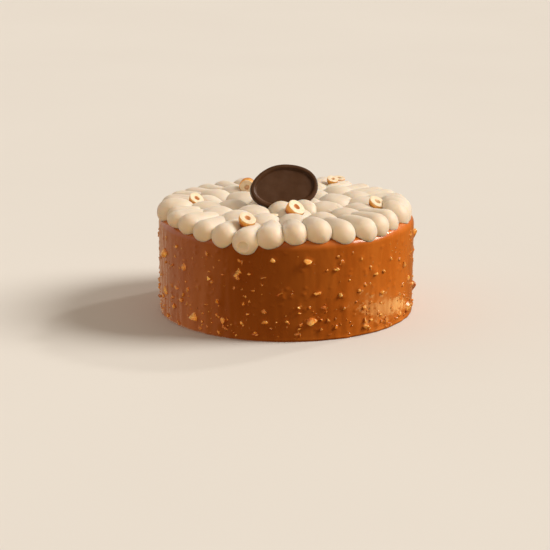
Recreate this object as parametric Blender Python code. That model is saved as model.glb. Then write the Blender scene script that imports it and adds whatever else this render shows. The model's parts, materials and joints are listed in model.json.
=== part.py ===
"""Chocolate hazelnut cake: a glazed round cake, piped cream, a chocolate plaque and hazelnut halves."""

import math
import random

import bmesh
import bpy
import numpy as np

# Sizes are in millimetres and angles in degrees. An angle round the cake starts at the front, -Y,
# and grows towards +X. Z is up from the flat base.
MM = 0.001
GAP = 0.3
CREASE_ANGLE = 38.0

GLAZE_COLOUR = (0.32, 0.10, 0.025)
GLAZE_ROUGHNESS = 0.25
CREAM_COLOUR = (0.86, 0.74, 0.56)
CREAM_ROUGHNESS = 0.5
CHOCOLATE_COLOUR = (0.075, 0.032, 0.018)
CHOCOLATE_ROUGHNESS = 0.35
HAZELNUT_COLOUR = (0.70, 0.42, 0.16)
HAZELNUT_ROUGHNESS = 0.55

CAKE_RADIUS = 100.0
CAKE_FOOT_RADIUS = 99.6
CAKE_HEIGHT = 76.0
CAKE_EDGE_ROUND = 6.0
CAKE_FOOT_ROUND = 1.2
CAKE_SEGMENTS = 88
CAKE_ROUND_STEPS = 4

NUT_BITS = 112
NUT_BIT_SEED = 11
NUT_BIT_TRIES = 14
NUT_BIT_RADIUS = (2.1, 4.0)
NUT_BIT_SIZE_POWER = 1.7
NUT_BIT_POINTS = 10
NUT_BIT_LOWEST = 0.6
NUT_BIT_CLEARANCE = 2.6
NUT_BIT_SINK = 0.4
NUT_BIT_STRETCH = (0.75, 1.35)

CREAM_CORE_RADIUS = 91.0
CREAM_CORE_TOP = 80.0
CREAM_CORE_SEGMENTS = 36
CREAM_SEED = 5

HEADS = 33
HEAD_PHASE = -16.8
HEAD_PUSHES = ((-38.0, 24.0, -1.2), (18.0, 8.0, 0.6), (36.0, 10.0, 2.4))
HEAD_LIFTS = ((-61.0, 7.0, 2.8), (60.0, 6.0, -1.4))
HEAD_CENTRE_RADIUS = 90.0
HEAD_HALF_WIDTH = 9.9
HEAD_REACH = 9.7
HEAD_TAIL = 29.0
HEAD_TAIL_TIP = 83.4
HEAD_TOP = 88.6
HEAD_FRONT_RISE = 1.6
HEAD_RIGHT_RISE = 1.4
HEAD_BOTTOM = 71.2
HEAD_DIPS = ((-112.0, 20.0, 0.8), (124.0, 20.0, 2.6))
BIG_HEADS = (
    # angle, half width, reach, tail, top and bottom
    (-81.0, 13.5, 13.0, 17.0, 91.2, 69.5),
    (84.0, 15.5, 14.0, 15.0, 92.8, 67.0),
    (79.0, 13.5, 13.9, 12.0, 92.8, 66.0),
    (74.0, 11.0, 13.6, 8.0, 91.6, 64.5),
)
SMALL_HEADS = (
    # the same, between a big head and its neighbours
    (-71.8, 8.0, 7.5, 22.0, 87.6, 73.0),
    (-95.5, 8.5, 8.5, 22.0, 87.6, 73.0),
    (97.3, 8.0, 8.5, 22.0, 88.2, 73.0),
)
BIG_HEAD_RADIUS = 86.5
BIG_HEAD_CLEARANCE = 3.6
TAIL_FULLNESS = 2.2
TAIL_TAPER = 0.72
CREAM_SHIFT = (-2.0, -2.4, 0.0)
SAG_SPOTS = ((-18.0, 13.0, 7.2), (-38.0, 10.0, 1.8), (37.0, 12.0, 3.4), (60.0, 22.0, 1.2))
SAG_TOP_SHARE = 0.72
SAG_OUT_SHARE = 0.3
SAG_WIDTH_SHARE = 0.12

INNER_RINGS = (
    # ring radius, blobs, first angle, half length, half width, top
    (61.0, 17, -13.3, 17.5, 13.2, 88.8),
    (39.0, 8, -35.0, 16.0, 15.5, 88.8),
    (17.0, 5, 12.0, 14.0, 12.5, 88.4),
)
RING_HALF_HEIGHT = 9.6
RING_TAIL_DROP = 2.4
RING_FRONT_RISE = 0.4
TORN_RINGS = (1, 2)
TORN_ANGLES = (48.0, 125.0)
TORN_LIFT = 1.4
PLAQUE_MOUND = (
    # angle, distance from the middle, half length, half width, top
    (-8.0, 29.5, 12.5, 11.0, 91.4),
    (26.0, 31.0, 14.0, 10.6, 92.2),
)
CENTRE_BLOB_RADIUS = 10.5
CENTRE_BLOB_TOP = 87.5
HEAD_ANGLE_JITTER = 0.4
DOLLOP_ANGLE_JITTER = 1.2
RADIUS_JITTER = 0.7
HEIGHT_JITTER = 0.6
SIZE_JITTER = 0.045
TAIL_SWING = 1.6
HEAD_MESH = (10, 8)
DOLLOP_MESH = (10, 7)

DIMPLE_HEAD = 0
DIMPLE_RADIUS = 6.6
DIMPLE_DEPTH = 2.8
DIMPLE_DROP = 2.5
DIMPLE_SEGMENTS = 12
DIMPLE_STEPS = 6

PLAQUE_WIDTH = 54.0
PLAQUE_HEIGHT = 37.2
PLAQUE_THICKNESS = 3.4
PLAQUE_RIM_RISE = 2.0
PLAQUE_RIM_WIDTH = 3.2
PLAQUE_RIM_STEP = 1.2
PLAQUE_EDGE = 0.7
PLAQUE_CENTRE = (-1.8, -12.0, 98.4)
PLAQUE_LEAN = 35.0
PLAQUE_YAW = 15.0
PLAQUE_SPIN = 8.0
PLAQUE_SEGMENTS = 36
PLAQUE_WAVES = ((2, 0.35, 0.4), (3, 0.3, 2.1), (5, 0.18, 4.0))

# Each hazelnut half: name, centre, width, dome height, lean of its cut face, the side it leans to and
# how far past its middle it is cut.
HAZELNUTS = (
    ("hazelnut_1", (-71.2, -5.5, 86.6), 11.4, 7.6, 40.0, 45.0, 0.0),
    ("hazelnut_2", (-30.2, -76.5, 86.2), 13.4, 8.4, 28.0, 40.0, 0.0),
    ("hazelnut_3", (5.6, -46.0, 88.4), 14.6, 8.4, 41.0, 54.0, 12.0),
    ("hazelnut_4", (68.9, -20.8, 86.9), 12.4, 8.0, 34.0, 46.0, 0.0),
    ("hazelnut_5", (-31.0, 40.0, 88.9), 13.4, 5.8, 95.0, -8.0, 32.0),
    ("hazelnut_6", (37.8, 66.0, 87.2), 9.4, 6.4, 24.0, 40.0, 0.0),
    ("hazelnut_7", (44.0, 75.5, 86.2), 9.4, 5.6, 12.0, 20.0, 0.0),
)
HAZELNUT_SEGMENTS = 12
HAZELNUT_DOME_STEPS = 4
HAZELNUT_LIP = (0.93, 0.05)
HAZELNUT_HOLLOW = 0.36
HAZELNUT_HOLLOW_FLOOR = 0.24
HAZELNUT_HOLLOW_DEPTH = 2.0
HAZELNUT_SINK = 0.45

CHIP_CENTRE = (-9.4, -57.0, 86.6)
CHIP_SIZE = (4.0, 2.6, 2.4)
CHIP_POINTS = 14
CHIP_SEED = 3


def clear_scene():
    for obj in list(bpy.data.objects):
        bpy.data.objects.remove(obj, do_unlink=True)


def direction(angle):
    """Outward and sideways unit vectors at an angle round the cake."""
    turn = math.radians(angle)
    outward = np.array([math.sin(turn), -math.cos(turn), 0.0])
    sideways = np.array([math.cos(turn), math.sin(turn), 0.0])
    return outward, sideways


def material(name, colour, roughness):
    made = bpy.data.materials.new(name)
    made.use_nodes = True
    shader = made.node_tree.nodes["Principled BSDF"]
    shader.inputs["Base Color"].default_value = (*colour, 1.0)
    shader.inputs["Roughness"].default_value = roughness
    return made


def smooth(mesh):
    """Smooth shading with edges sharper than the crease angle kept crisp."""
    mesh.polygons.foreach_set("use_smooth", [True] * len(mesh.polygons))
    mesh.set_sharp_from_angle(angle=math.radians(CREASE_ANGLE))
    mesh.update()


def mesh_object(name, points, faces, skin=None, collection=None):
    mesh = bpy.data.meshes.new(name)
    mesh.from_pydata((np.asarray(points) * MM).tolist(), [], [list(face) for face in faces])
    mesh.update()
    obj = bpy.data.objects.new(name, mesh)
    (collection or bpy.context.scene.collection).objects.link(obj)
    if skin is not None:
        mesh.materials.append(skin)
    return obj


def grid_faces(rings, around, first=0):
    """Quads between rings of points, each ring closed on itself."""
    faces = []
    for ring in range(rings - 1):
        for step in range(around):
            after = (step + 1) % around
            low = first + ring * around
            high = low + around
            faces.append((low + step, low + after, high + after, high + step))
    return faces


def capped(rings, start_pole, end_pole):
    """Points and faces of a closed skin: a pole, rings of equal count, and a pole."""
    around = len(rings[0])
    points = [start_pole]
    for ring in rings:
        points.extend(ring)
    points.append(end_pole)
    last = len(points) - 1
    top_ring = 1 + (len(rings) - 1) * around
    faces = [(0, 1 + (step + 1) % around, 1 + step) for step in range(around)]
    faces += grid_faces(len(rings), around, first=1)
    faces += [(last, top_ring + step, top_ring + (step + 1) % around) for step in range(around)]
    return np.array(points), faces


def turned(profile, segments, phase=0.0):
    """A solid turned about Z from (radius, height) pairs that run from the bottom pole to the top."""
    rings = []
    for radius, height in profile[1:-1]:
        ring = []
        for step in range(segments):
            turn = 2 * math.pi * (step + phase) / segments
            ring.append((radius * math.cos(turn), radius * math.sin(turn), height))
        rings.append(ring)
    return capped(rings, (0.0, 0.0, profile[0][1]), (0.0, 0.0, profile[-1][1]))


def cake_profile(grow=0.0):
    """Half outline of the glazed cake, from the middle of its base to the middle of its top."""
    foot = CAKE_FOOT_RADIUS + grow
    side = CAKE_RADIUS + grow
    top = CAKE_HEIGHT + grow
    round_radius = CAKE_EDGE_ROUND + grow
    profile = [
        (0.0, -grow),
        (foot - CAKE_FOOT_ROUND, -grow),
        (foot, CAKE_FOOT_ROUND - grow),
    ]
    for step in range(CAKE_ROUND_STEPS + 1):
        turn = math.pi / 2 * step / CAKE_ROUND_STEPS
        across = side - round_radius + round_radius * math.cos(turn)
        profile.append((across, top - round_radius + round_radius * math.sin(turn)))
    profile.append((0.0, top))
    return profile


def hollow_at(angle, spots):
    """Summed depth at this angle of smooth hollows given as (middle, spread, depth)."""
    total = 0.0
    for middle, spread, depth in spots:
        apart = (angle - middle + 180.0) % 360.0 - 180.0
        total += depth * math.exp(-((apart / spread) ** 2))
    return total


def sag_at(angle):
    """How far, in millimetres, the outer heads hang down over the edge at this angle."""
    return hollow_at(angle, SAG_SPOTS)


def blob(centre, outward, sideways, sizes, around, steps):
    """A piped dollop: a round head towards outward and a tapering tail behind it.

    sizes are its reach, tail, half width, half height, tail drop and tail swing.
    """
    reach, tail, half_width, half_height, drop, swing = sizes
    rings = []
    for step in range(1, steps):
        along = math.cos(math.pi * step / steps)
        if along >= 0.0:
            body = math.sqrt(1.0 - along * along)
            run = along * reach
            lower = 0.0
            shift = 0.0
        else:
            body = (1.0 - abs(along) ** TAIL_FULLNESS) ** TAIL_TAPER
            run = along * tail
            lower = drop * along * along
            shift = swing * along * along
        spine = centre + outward * run + sideways * shift
        ring = []
        for turn_step in range(around):
            turn = 2 * math.pi * turn_step / around
            high = half_height * body * math.sin(turn) - lower
            ring.append(spine - sideways * half_width * body * math.cos(turn) + np.array([0, 0, high]))
        rings.append(ring)
    start = centre + outward * reach
    end = centre - outward * tail + sideways * swing - np.array([0, 0, drop])
    return capped(rings, start, end)


def outer_blobs(rng):
    """The heads that ring the top and hang over its edge, their tails rising inward."""
    blobs = []
    for index in range(HEADS):
        angle = HEAD_PHASE + 360.0 * index / HEADS
        angle += rng.uniform(-HEAD_ANGLE_JITTER, HEAD_ANGLE_JITTER) + hollow_at(angle, HEAD_PUSHES)
        sag = sag_at(angle)
        outward, sideways = direction(angle)
        rise_turn = math.radians(angle)
        top = HEAD_TOP + HEAD_FRONT_RISE * math.cos(rise_turn) + HEAD_RIGHT_RISE * math.sin(rise_turn)
        top += rng.uniform(-HEIGHT_JITTER, HEIGHT_JITTER) - SAG_TOP_SHARE * sag
        top -= hollow_at(angle, HEAD_DIPS)
        bottom = HEAD_BOTTOM - sag + rng.uniform(-HEIGHT_JITTER, HEIGHT_JITTER)
        bottom += hollow_at(angle, HEAD_LIFTS)
        ring_radius = HEAD_CENTRE_RADIUS + SAG_OUT_SHARE * sag
        ring_radius += rng.uniform(-RADIUS_JITTER, RADIUS_JITTER)
        size = 1.0 + rng.uniform(-SIZE_JITTER, SIZE_JITTER)
        middle = (top + bottom) / 2
        half = (top - bottom) / 2
        centre = outward * ring_radius + np.array([0.0, 0.0, middle]) + np.array(CREAM_SHIFT)
        half_width = HEAD_HALF_WIDTH * size + SAG_WIDTH_SHARE * sag
        swing = rng.uniform(-TAIL_SWING, TAIL_SWING)
        sizes = (HEAD_REACH * size, HEAD_TAIL, half_width, half, middle - HEAD_TAIL_TIP, swing)
        if not beside_big_head(angle):
            blobs.append((centre, outward, sideways, sizes))
    return blobs


def beside_big_head(angle):
    """Whether a big head takes the place of the one at this angle."""
    for middle, half_width, *_ in BIG_HEADS:
        apart = abs((angle - middle + 180.0) % 360.0 - 180.0)
        if apart < math.degrees(half_width / BIG_HEAD_RADIUS) + BIG_HEAD_CLEARANCE:
            return True
    return False


def big_blobs():
    """The large dollops at the left and right of the top, and the small ones beside them."""
    blobs = []
    for angle, half_width, reach, tail, top, bottom in BIG_HEADS + SMALL_HEADS:
        outward, sideways = direction(angle)
        middle = (top + bottom) / 2
        centre = outward * BIG_HEAD_RADIUS + np.array([0.0, 0.0, middle]) + np.array(CREAM_SHIFT)
        sizes = (reach, tail, half_width, top - middle, middle - HEAD_TAIL_TIP, 0.0)
        blobs.append((centre, outward, sideways, sizes))
    return blobs


def ring_blobs(ring, rng):
    """One inner ring of dollops, from its row in INNER_RINGS."""
    ring_radius, count, phase, half_length, half_width, top = INNER_RINGS[ring]
    blobs = []
    for index in range(count):
        angle = phase + 360.0 * index / count + rng.uniform(-DOLLOP_ANGLE_JITTER, DOLLOP_ANGLE_JITTER)
        outward, sideways = direction(angle)
        height = top + RING_FRONT_RISE * math.cos(math.radians(angle))
        height += rng.uniform(-HEIGHT_JITTER, HEIGHT_JITTER)
        if ring in TORN_RINGS and TORN_ANGLES[0] < angle < TORN_ANGLES[1]:
            height += TORN_LIFT
        size = 1.0 + rng.uniform(-SIZE_JITTER, SIZE_JITTER)
        radius = ring_radius + rng.uniform(-RADIUS_JITTER, RADIUS_JITTER)
        swing = rng.uniform(-TAIL_SWING, TAIL_SWING)
        centre = outward * radius + np.array([0.0, 0.0, height - RING_HALF_HEIGHT])
        centre += np.array(CREAM_SHIFT)
        reach = half_length * size
        sizes = (reach, half_length, half_width * size, RING_HALF_HEIGHT, RING_TAIL_DROP, swing)
        blobs.append((centre, outward, sideways, sizes))
    return blobs


def middle_blobs():
    """The dollop in the middle and those piled against the plaque's foot."""
    rows = [(0.0, 0.0, CENTRE_BLOB_RADIUS, CENTRE_BLOB_RADIUS, CENTRE_BLOB_TOP)]
    rows += PLAQUE_MOUND
    blobs = []
    for angle, distance, half_length, half_width, top in rows:
        outward, sideways = direction(angle)
        centre = outward * distance + np.array([0.0, 0.0, top - RING_HALF_HEIGHT])
        sizes = (half_length, half_length, half_width, RING_HALF_HEIGHT, 0.0, 0.0)
        blobs.append((centre, outward, sideways, sizes))
    return blobs


def plaque_axes():
    """Across, up and facing unit vectors of the leaning plaque."""
    lean = math.radians(PLAQUE_LEAN)
    yaw = math.radians(PLAQUE_YAW)
    spin = math.radians(PLAQUE_SPIN)
    across = np.array([math.cos(yaw), math.sin(yaw), 0.0])
    back = np.array([-math.sin(yaw), math.cos(yaw), 0.0])
    upward = back * math.sin(lean) + np.array([0.0, 0.0, math.cos(lean)])
    facing = np.cross(across, upward)
    turned_across = across * math.cos(spin) + upward * math.sin(spin)
    turned_up = upward * math.cos(spin) - across * math.sin(spin)
    return turned_across, turned_up, facing


def plaque_wave(turn):
    """Unevenness of the pressed edge, in millimetres."""
    return sum(depth * math.cos(count * turn + phase) for count, depth, phase in PLAQUE_WAVES)


def plaque_mesh(grow=0.0):
    """The oval plaque with its raised rim, leaning back."""
    across, upward, facing = plaque_axes()
    half = PLAQUE_THICKNESS / 2
    rim = half + PLAQUE_RIM_RISE
    inner = PLAQUE_RIM_WIDTH + grow
    sections = (
        (PLAQUE_EDGE - grow, -half - grow),
        (-grow, -half + PLAQUE_EDGE),
        (-grow, rim - PLAQUE_EDGE),
        (PLAQUE_EDGE - grow, rim + grow),
        (inner - PLAQUE_EDGE, rim + grow),
        (inner, rim - PLAQUE_EDGE / 2 + grow),
        (inner + PLAQUE_RIM_STEP, half + grow),
    )
    rings = []
    for inset, level in sections:
        ring = []
        for step in range(PLAQUE_SEGMENTS):
            turn = 2 * math.pi * step / PLAQUE_SEGMENTS
            width = PLAQUE_WIDTH / 2 - inset + plaque_wave(turn)
            height = PLAQUE_HEIGHT / 2 - inset + plaque_wave(turn)
            flat = across * (width * math.cos(turn)) + upward * (height * math.sin(turn))
            ring.append(np.array(PLAQUE_CENTRE) + flat + facing * level)
        rings.append(ring)
    middle = np.array(PLAQUE_CENTRE)
    return capped(rings, middle - facing * (half + grow), middle + facing * (half + grow))


def hazelnut_mesh(position, width, dome, lean, side, over, grow=0.0, hollow=True):
    """A cut hazelnut: a round back, a flat cut face and the hollow of its kernel."""
    outward, sideways = direction(side)
    tilt = math.radians(lean)
    facing = outward * math.sin(tilt) + np.array([0.0, 0.0, math.cos(tilt)])
    rise = np.cross(facing, sideways)
    past = math.radians(over)
    profile = []
    for step in range(HAZELNUT_DOME_STEPS + 1):
        turn = (math.pi / 2 + past) * step / HAZELNUT_DOME_STEPS
        level = -(dome + grow) * (math.cos(turn) + math.sin(past))
        profile.append(((width / 2 + grow) * math.sin(turn), level))
    face = profile[-1][0]
    lip, lip_rise = HAZELNUT_LIP
    lip_height = dome * lip_rise + grow
    if hollow:
        profile += [
            (face * lip, lip_height),
            (face * HAZELNUT_HOLLOW, lip_height),
            (face * HAZELNUT_HOLLOW_FLOOR, -HAZELNUT_HOLLOW_DEPTH),
            (0.0, -HAZELNUT_HOLLOW_DEPTH),
        ]
    else:
        profile += [(face, lip_height), (0.0, lip_height)]
    points, faces = turned(profile, HAZELNUT_SEGMENTS)
    middle = np.array(position) + facing * (dome * HAZELNUT_SINK)
    placed = [middle + sideways * x + rise * y + facing * z for x, y, z in points]
    return placed, faces


def nut_bit_spots(rng):
    """Evenly scattered spots on the wall as (angle, height, radius), the largest first."""
    sizes = []
    smallest, largest = NUT_BIT_RADIUS
    for _ in range(NUT_BITS):
        share = rng.random() ** NUT_BIT_SIZE_POWER
        sizes.append(smallest + (largest - smallest) * share)
    sizes.sort(reverse=True)
    spots = []
    for size in sizes:
        best = None
        for _ in range(NUT_BIT_TRIES):
            angle = rng.uniform(-180.0, 180.0)
            highest = HEAD_BOTTOM - sag_at(angle) - size - NUT_BIT_CLEARANCE
            height = rng.uniform(size * NUT_BIT_STRETCH[1] + NUT_BIT_LOWEST, highest)
            nearest = min([spot_distance(angle, height, spot) for spot in spots] or [math.inf])
            if best is None or nearest > best[0]:
                best = (nearest, angle, height)
        spots.append((best[1], best[2], size))
    return spots


def spot_distance(angle, height, spot):
    """Distance over the wall between a place and the edge of a spot already taken."""
    apart = math.radians((angle - spot[0] + 180.0) % 360.0 - 180.0) * CAKE_RADIUS
    return math.hypot(apart, height - spot[1]) - spot[2]


def nut_bit_points(rng, size):
    """Corners of one chopped piece about its own middle."""
    stretch = [rng.uniform(*NUT_BIT_STRETCH) for _ in range(3)]
    corners = []
    for _ in range(NUT_BIT_POINTS):
        up = rng.uniform(-1.0, 1.0)
        turn = rng.uniform(0.0, 2 * math.pi)
        flat = math.sqrt(1.0 - up * up)
        corners.append(
            (
                size * stretch[0] * flat * math.cos(turn),
                size * stretch[1] * flat * math.sin(turn),
                size * stretch[2] * up,
            )
        )
    return corners


def hull_object(name, points, skin, collection):
    """A convex solid round the points."""
    shape = bmesh.new()
    for point in points:
        shape.verts.new(np.asarray(point) * MM)
    made = bmesh.ops.convex_hull(shape, input=shape.verts)
    spare = [v for v in made["geom_interior"] + made["geom_unused"] if isinstance(v, bmesh.types.BMVert)]
    bmesh.ops.delete(shape, geom=list(set(spare)), context="VERTS")
    bmesh.ops.recalc_face_normals(shape, faces=shape.faces)
    mesh = bpy.data.meshes.new(name)
    shape.to_mesh(mesh)
    shape.free()
    mesh.materials.append(skin)
    obj = bpy.data.objects.new(name, mesh)
    collection.objects.link(obj)
    return obj


def apply_boolean(target, operation, collection, solver):
    """Join or cut the target with everything in the collection, then remove the collection."""
    modifier = target.modifiers.new(operation.title(), "BOOLEAN")
    modifier.operation = operation
    modifier.operand_type = "COLLECTION"
    modifier.collection = collection
    modifier.solver = solver
    bpy.context.view_layer.update()
    graph = bpy.context.evaluated_depsgraph_get()
    result = bpy.data.meshes.new_from_object(target.evaluated_get(graph))
    target.modifiers.clear()
    before = target.data
    target.data = result
    bpy.data.meshes.remove(before)
    for obj in list(collection.objects):
        bpy.data.objects.remove(obj, do_unlink=True)
    bpy.data.collections.remove(collection)


def keep_largest(target):
    """Drop loose scraps and sealed hollows, which are separate from the main skin."""
    shape = bmesh.new()
    shape.from_mesh(target.data)
    waiting = set(shape.verts)
    shells = []
    while waiting:
        front = [waiting.pop()]
        shell = set(front)
        while front:
            vertex = front.pop()
            for edge in vertex.link_edges:
                other = edge.other_vert(vertex)
                if other in waiting:
                    waiting.remove(other)
                    shell.add(other)
                    front.append(other)
        shells.append(shell)
    shells.sort(key=len, reverse=True)
    for shell in shells[1:]:
        bmesh.ops.delete(shape, geom=list(shell), context="VERTS")
    shape.to_mesh(target.data)
    shape.free()


def new_collection(name):
    made = bpy.data.collections.new(name)
    bpy.context.scene.collection.children.link(made)
    return made


def chip_points(grow=0.0):
    """Corners of the small broken piece of hazelnut."""
    rng = random.Random(CHIP_SEED)
    corners = []
    for _ in range(CHIP_POINTS):
        up = rng.uniform(-1.0, 1.0)
        turn = rng.uniform(0.0, 2 * math.pi)
        flat = math.sqrt(1.0 - up * up)
        spread = (flat * math.cos(turn), flat * math.sin(turn), up)
        corners.append([m + (size + grow) * part for m, size, part in zip(CHIP_CENTRE, CHIP_SIZE, spread)])
    return corners


def dimple_mesh(head):
    """A ball that presses a shallow dimple into the tip of one head."""
    centre, outward, _, sizes = head
    middle = centre + outward * (sizes[0] + DIMPLE_RADIUS - DIMPLE_DEPTH) - np.array([0, 0, DIMPLE_DROP])
    profile = []
    for step in range(DIMPLE_STEPS + 1):
        turn = math.pi * step / DIMPLE_STEPS
        profile.append((DIMPLE_RADIUS * math.sin(turn), -DIMPLE_RADIUS * math.cos(turn)))
    points, faces = turned(profile, DIMPLE_SEGMENTS)
    return points + middle, faces


def build_glazed_cake(skin):
    """The glazed cake with the largest chopped nuts of its glaze fused to the wall."""
    points, faces = turned(cake_profile(), CAKE_SEGMENTS)
    cake = mesh_object("glazed_cake", points, faces, skin)
    rng = random.Random(NUT_BIT_SEED)
    bits = new_collection("nut_bits")
    for index, (angle, height, size) in enumerate(nut_bit_spots(rng)):
        outward, sideways = direction(angle)
        middle = outward * (CAKE_RADIUS - NUT_BIT_SINK * size) + np.array([0.0, 0.0, height])
        corners = [
            middle + outward * x + sideways * y + np.array([0.0, 0.0, z])
            for x, y, z in nut_bit_points(rng, size)
        ]
        hull_object(f"bit_{index}", corners, skin, bits)
    apply_boolean(cake, "UNION", bits, "EXACT")
    keep_largest(cake)
    smooth(cake.data)
    return cake


def build_cream(skin):
    """All piped dollops as one body that rests on the glaze and makes room for its toppings."""
    rng = random.Random(CREAM_SEED)
    core = [
        (0.0, CAKE_HEIGHT),
        (CREAM_CORE_RADIUS, CAKE_HEIGHT),
        (CREAM_CORE_RADIUS, CREAM_CORE_TOP),
        (0.0, CREAM_CORE_TOP),
    ]
    points, faces = turned(core, CREAM_CORE_SEGMENTS, phase=0.5)
    cream = mesh_object("piped_cream", points, faces, skin)
    dollops = new_collection("dollops")
    heads = outer_blobs(rng) + big_blobs()
    for index, (centre, outward, sideways, sizes) in enumerate(heads):
        points, faces = blob(centre, outward, sideways, sizes, *HEAD_MESH)
        mesh_object(f"head_{index}", points, faces, skin, dollops)
    for ring in range(len(INNER_RINGS)):
        for index, (centre, outward, sideways, sizes) in enumerate(ring_blobs(ring, rng)):
            points, faces = blob(centre, outward, sideways, sizes, *DOLLOP_MESH)
            mesh_object(f"dollop_{ring}_{index}", points, faces, skin, dollops)
    for index, (centre, outward, sideways, sizes) in enumerate(middle_blobs()):
        points, faces = blob(centre, outward, sideways, sizes, *DOLLOP_MESH)
        mesh_object(f"middle_{index}", points, faces, skin, dollops)
    apply_boolean(cream, "UNION", dollops, "MANIFOLD")
    cutters = new_collection("cream_cutters")
    points, faces = turned(cake_profile(GAP), CAKE_SEGMENTS)
    mesh_object("cake_cutter", points, faces, None, cutters)
    points, faces = plaque_mesh(GAP)
    mesh_object("plaque_cutter", points, faces, None, cutters)
    points, faces = dimple_mesh(heads[DIMPLE_HEAD])
    mesh_object("dimple_cutter", points, faces, None, cutters)
    hull_object("chip_cutter", chip_points(GAP), skin, cutters)
    for name, *sizes in HAZELNUTS:
        points, faces = hazelnut_mesh(*sizes, GAP, False)
        mesh_object(f"{name}_cutter", points, faces, None, cutters)
    apply_boolean(cream, "DIFFERENCE", cutters, "MANIFOLD")
    keep_largest(cream)
    smooth(cream.data)
    return cream


def main():
    clear_scene()
    glaze = material("praline_glaze", GLAZE_COLOUR, GLAZE_ROUGHNESS)
    cream = material("vanilla_cream", CREAM_COLOUR, CREAM_ROUGHNESS)
    chocolate = material("dark_chocolate", CHOCOLATE_COLOUR, CHOCOLATE_ROUGHNESS)
    hazelnut = material("toasted_hazelnut", HAZELNUT_COLOUR, HAZELNUT_ROUGHNESS)
    build_glazed_cake(glaze)
    build_cream(cream)
    points, faces = plaque_mesh()
    plaque = mesh_object("chocolate_plaque", points, faces, chocolate)
    smooth(plaque.data)
    for name, *sizes in HAZELNUTS:
        points, faces = hazelnut_mesh(*sizes)
        half = mesh_object(name, points, faces, hazelnut)
        smooth(half.data)
    chip = hull_object("hazelnut_chip", chip_points(), hazelnut, bpy.context.scene.collection)
    smooth(chip.data)


main()
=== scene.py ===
"""Dresses the chocolate hazelnut cake: praline glaze, piped cream, chocolate plaque and hazelnuts.

Sizes are in millimetres and angles in degrees until a mesh is made. An angle round the cake starts
at the front, -Y, and grows towards +X.
"""

import json
import logging
import math
import random
from collections.abc import Iterable
from dataclasses import dataclass, field, replace
from enum import Enum
from functools import cached_property

import bmesh
import bpy
import numpy as np
from mathutils import Matrix, Vector, noise

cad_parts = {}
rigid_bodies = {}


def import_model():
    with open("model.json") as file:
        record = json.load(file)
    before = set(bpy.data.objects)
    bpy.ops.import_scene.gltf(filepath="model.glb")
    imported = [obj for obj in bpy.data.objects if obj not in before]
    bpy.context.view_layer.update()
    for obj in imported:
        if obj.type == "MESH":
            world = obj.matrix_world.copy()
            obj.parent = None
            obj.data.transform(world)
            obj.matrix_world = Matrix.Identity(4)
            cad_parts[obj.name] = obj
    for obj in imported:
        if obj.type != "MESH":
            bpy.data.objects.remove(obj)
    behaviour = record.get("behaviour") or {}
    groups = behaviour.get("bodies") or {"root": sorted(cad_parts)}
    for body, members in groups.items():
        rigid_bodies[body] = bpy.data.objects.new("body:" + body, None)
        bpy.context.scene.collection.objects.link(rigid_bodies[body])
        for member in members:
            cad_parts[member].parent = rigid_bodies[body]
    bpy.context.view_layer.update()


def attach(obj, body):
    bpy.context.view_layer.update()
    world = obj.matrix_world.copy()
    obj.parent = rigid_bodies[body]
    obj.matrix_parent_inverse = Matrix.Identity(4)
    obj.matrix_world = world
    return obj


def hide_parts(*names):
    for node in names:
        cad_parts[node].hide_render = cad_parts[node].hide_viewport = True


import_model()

MM = 0.001
GAP = 0.3
BODY = "root"
SOLVER = "MANIFOLD"

# Inputs and output of a Mix node that mixes colours.
MIX_SHARE, MIX_FIRST, MIX_SECOND, MIX_RESULT = 0, 6, 7, 2

log = logging.getLogger("cake")

Colour = tuple[float, float, float]
Point = tuple[float, float, float]

# How far the cream hangs over the edge: middle angle, spread and depth of each low stretch.
SAG_SPOTS: tuple[Point, ...] = (
    (-18.0, 13.0, 7.2),
    (-38.0, 10.0, 1.8),
    (37.0, 12.0, 3.4),
    (60.0, 22.0, 1.2),
)


class Operation(Enum):
    """What a Boolean does with its collection."""

    JOIN = "UNION"
    CUT = "DIFFERENCE"


class Slot(Enum):
    """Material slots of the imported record."""

    GLAZE = "praline_glaze"
    CREAM = "vanilla_cream"
    CHOCOLATE = "dark_chocolate"
    HAZELNUT = "toasted_hazelnut"


class Socket(Enum):
    """Kinds of sockets of a node group."""

    VALUE = "NodeSocketFloat"
    COLOUR = "NodeSocketColor"


class Mask(Enum):
    """Values kept on a mesh's points for its finish."""

    TIP = "tip"
    BARE = "bare"
    SKIN = "skin"
    HOLLOW = "hollow"


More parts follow.
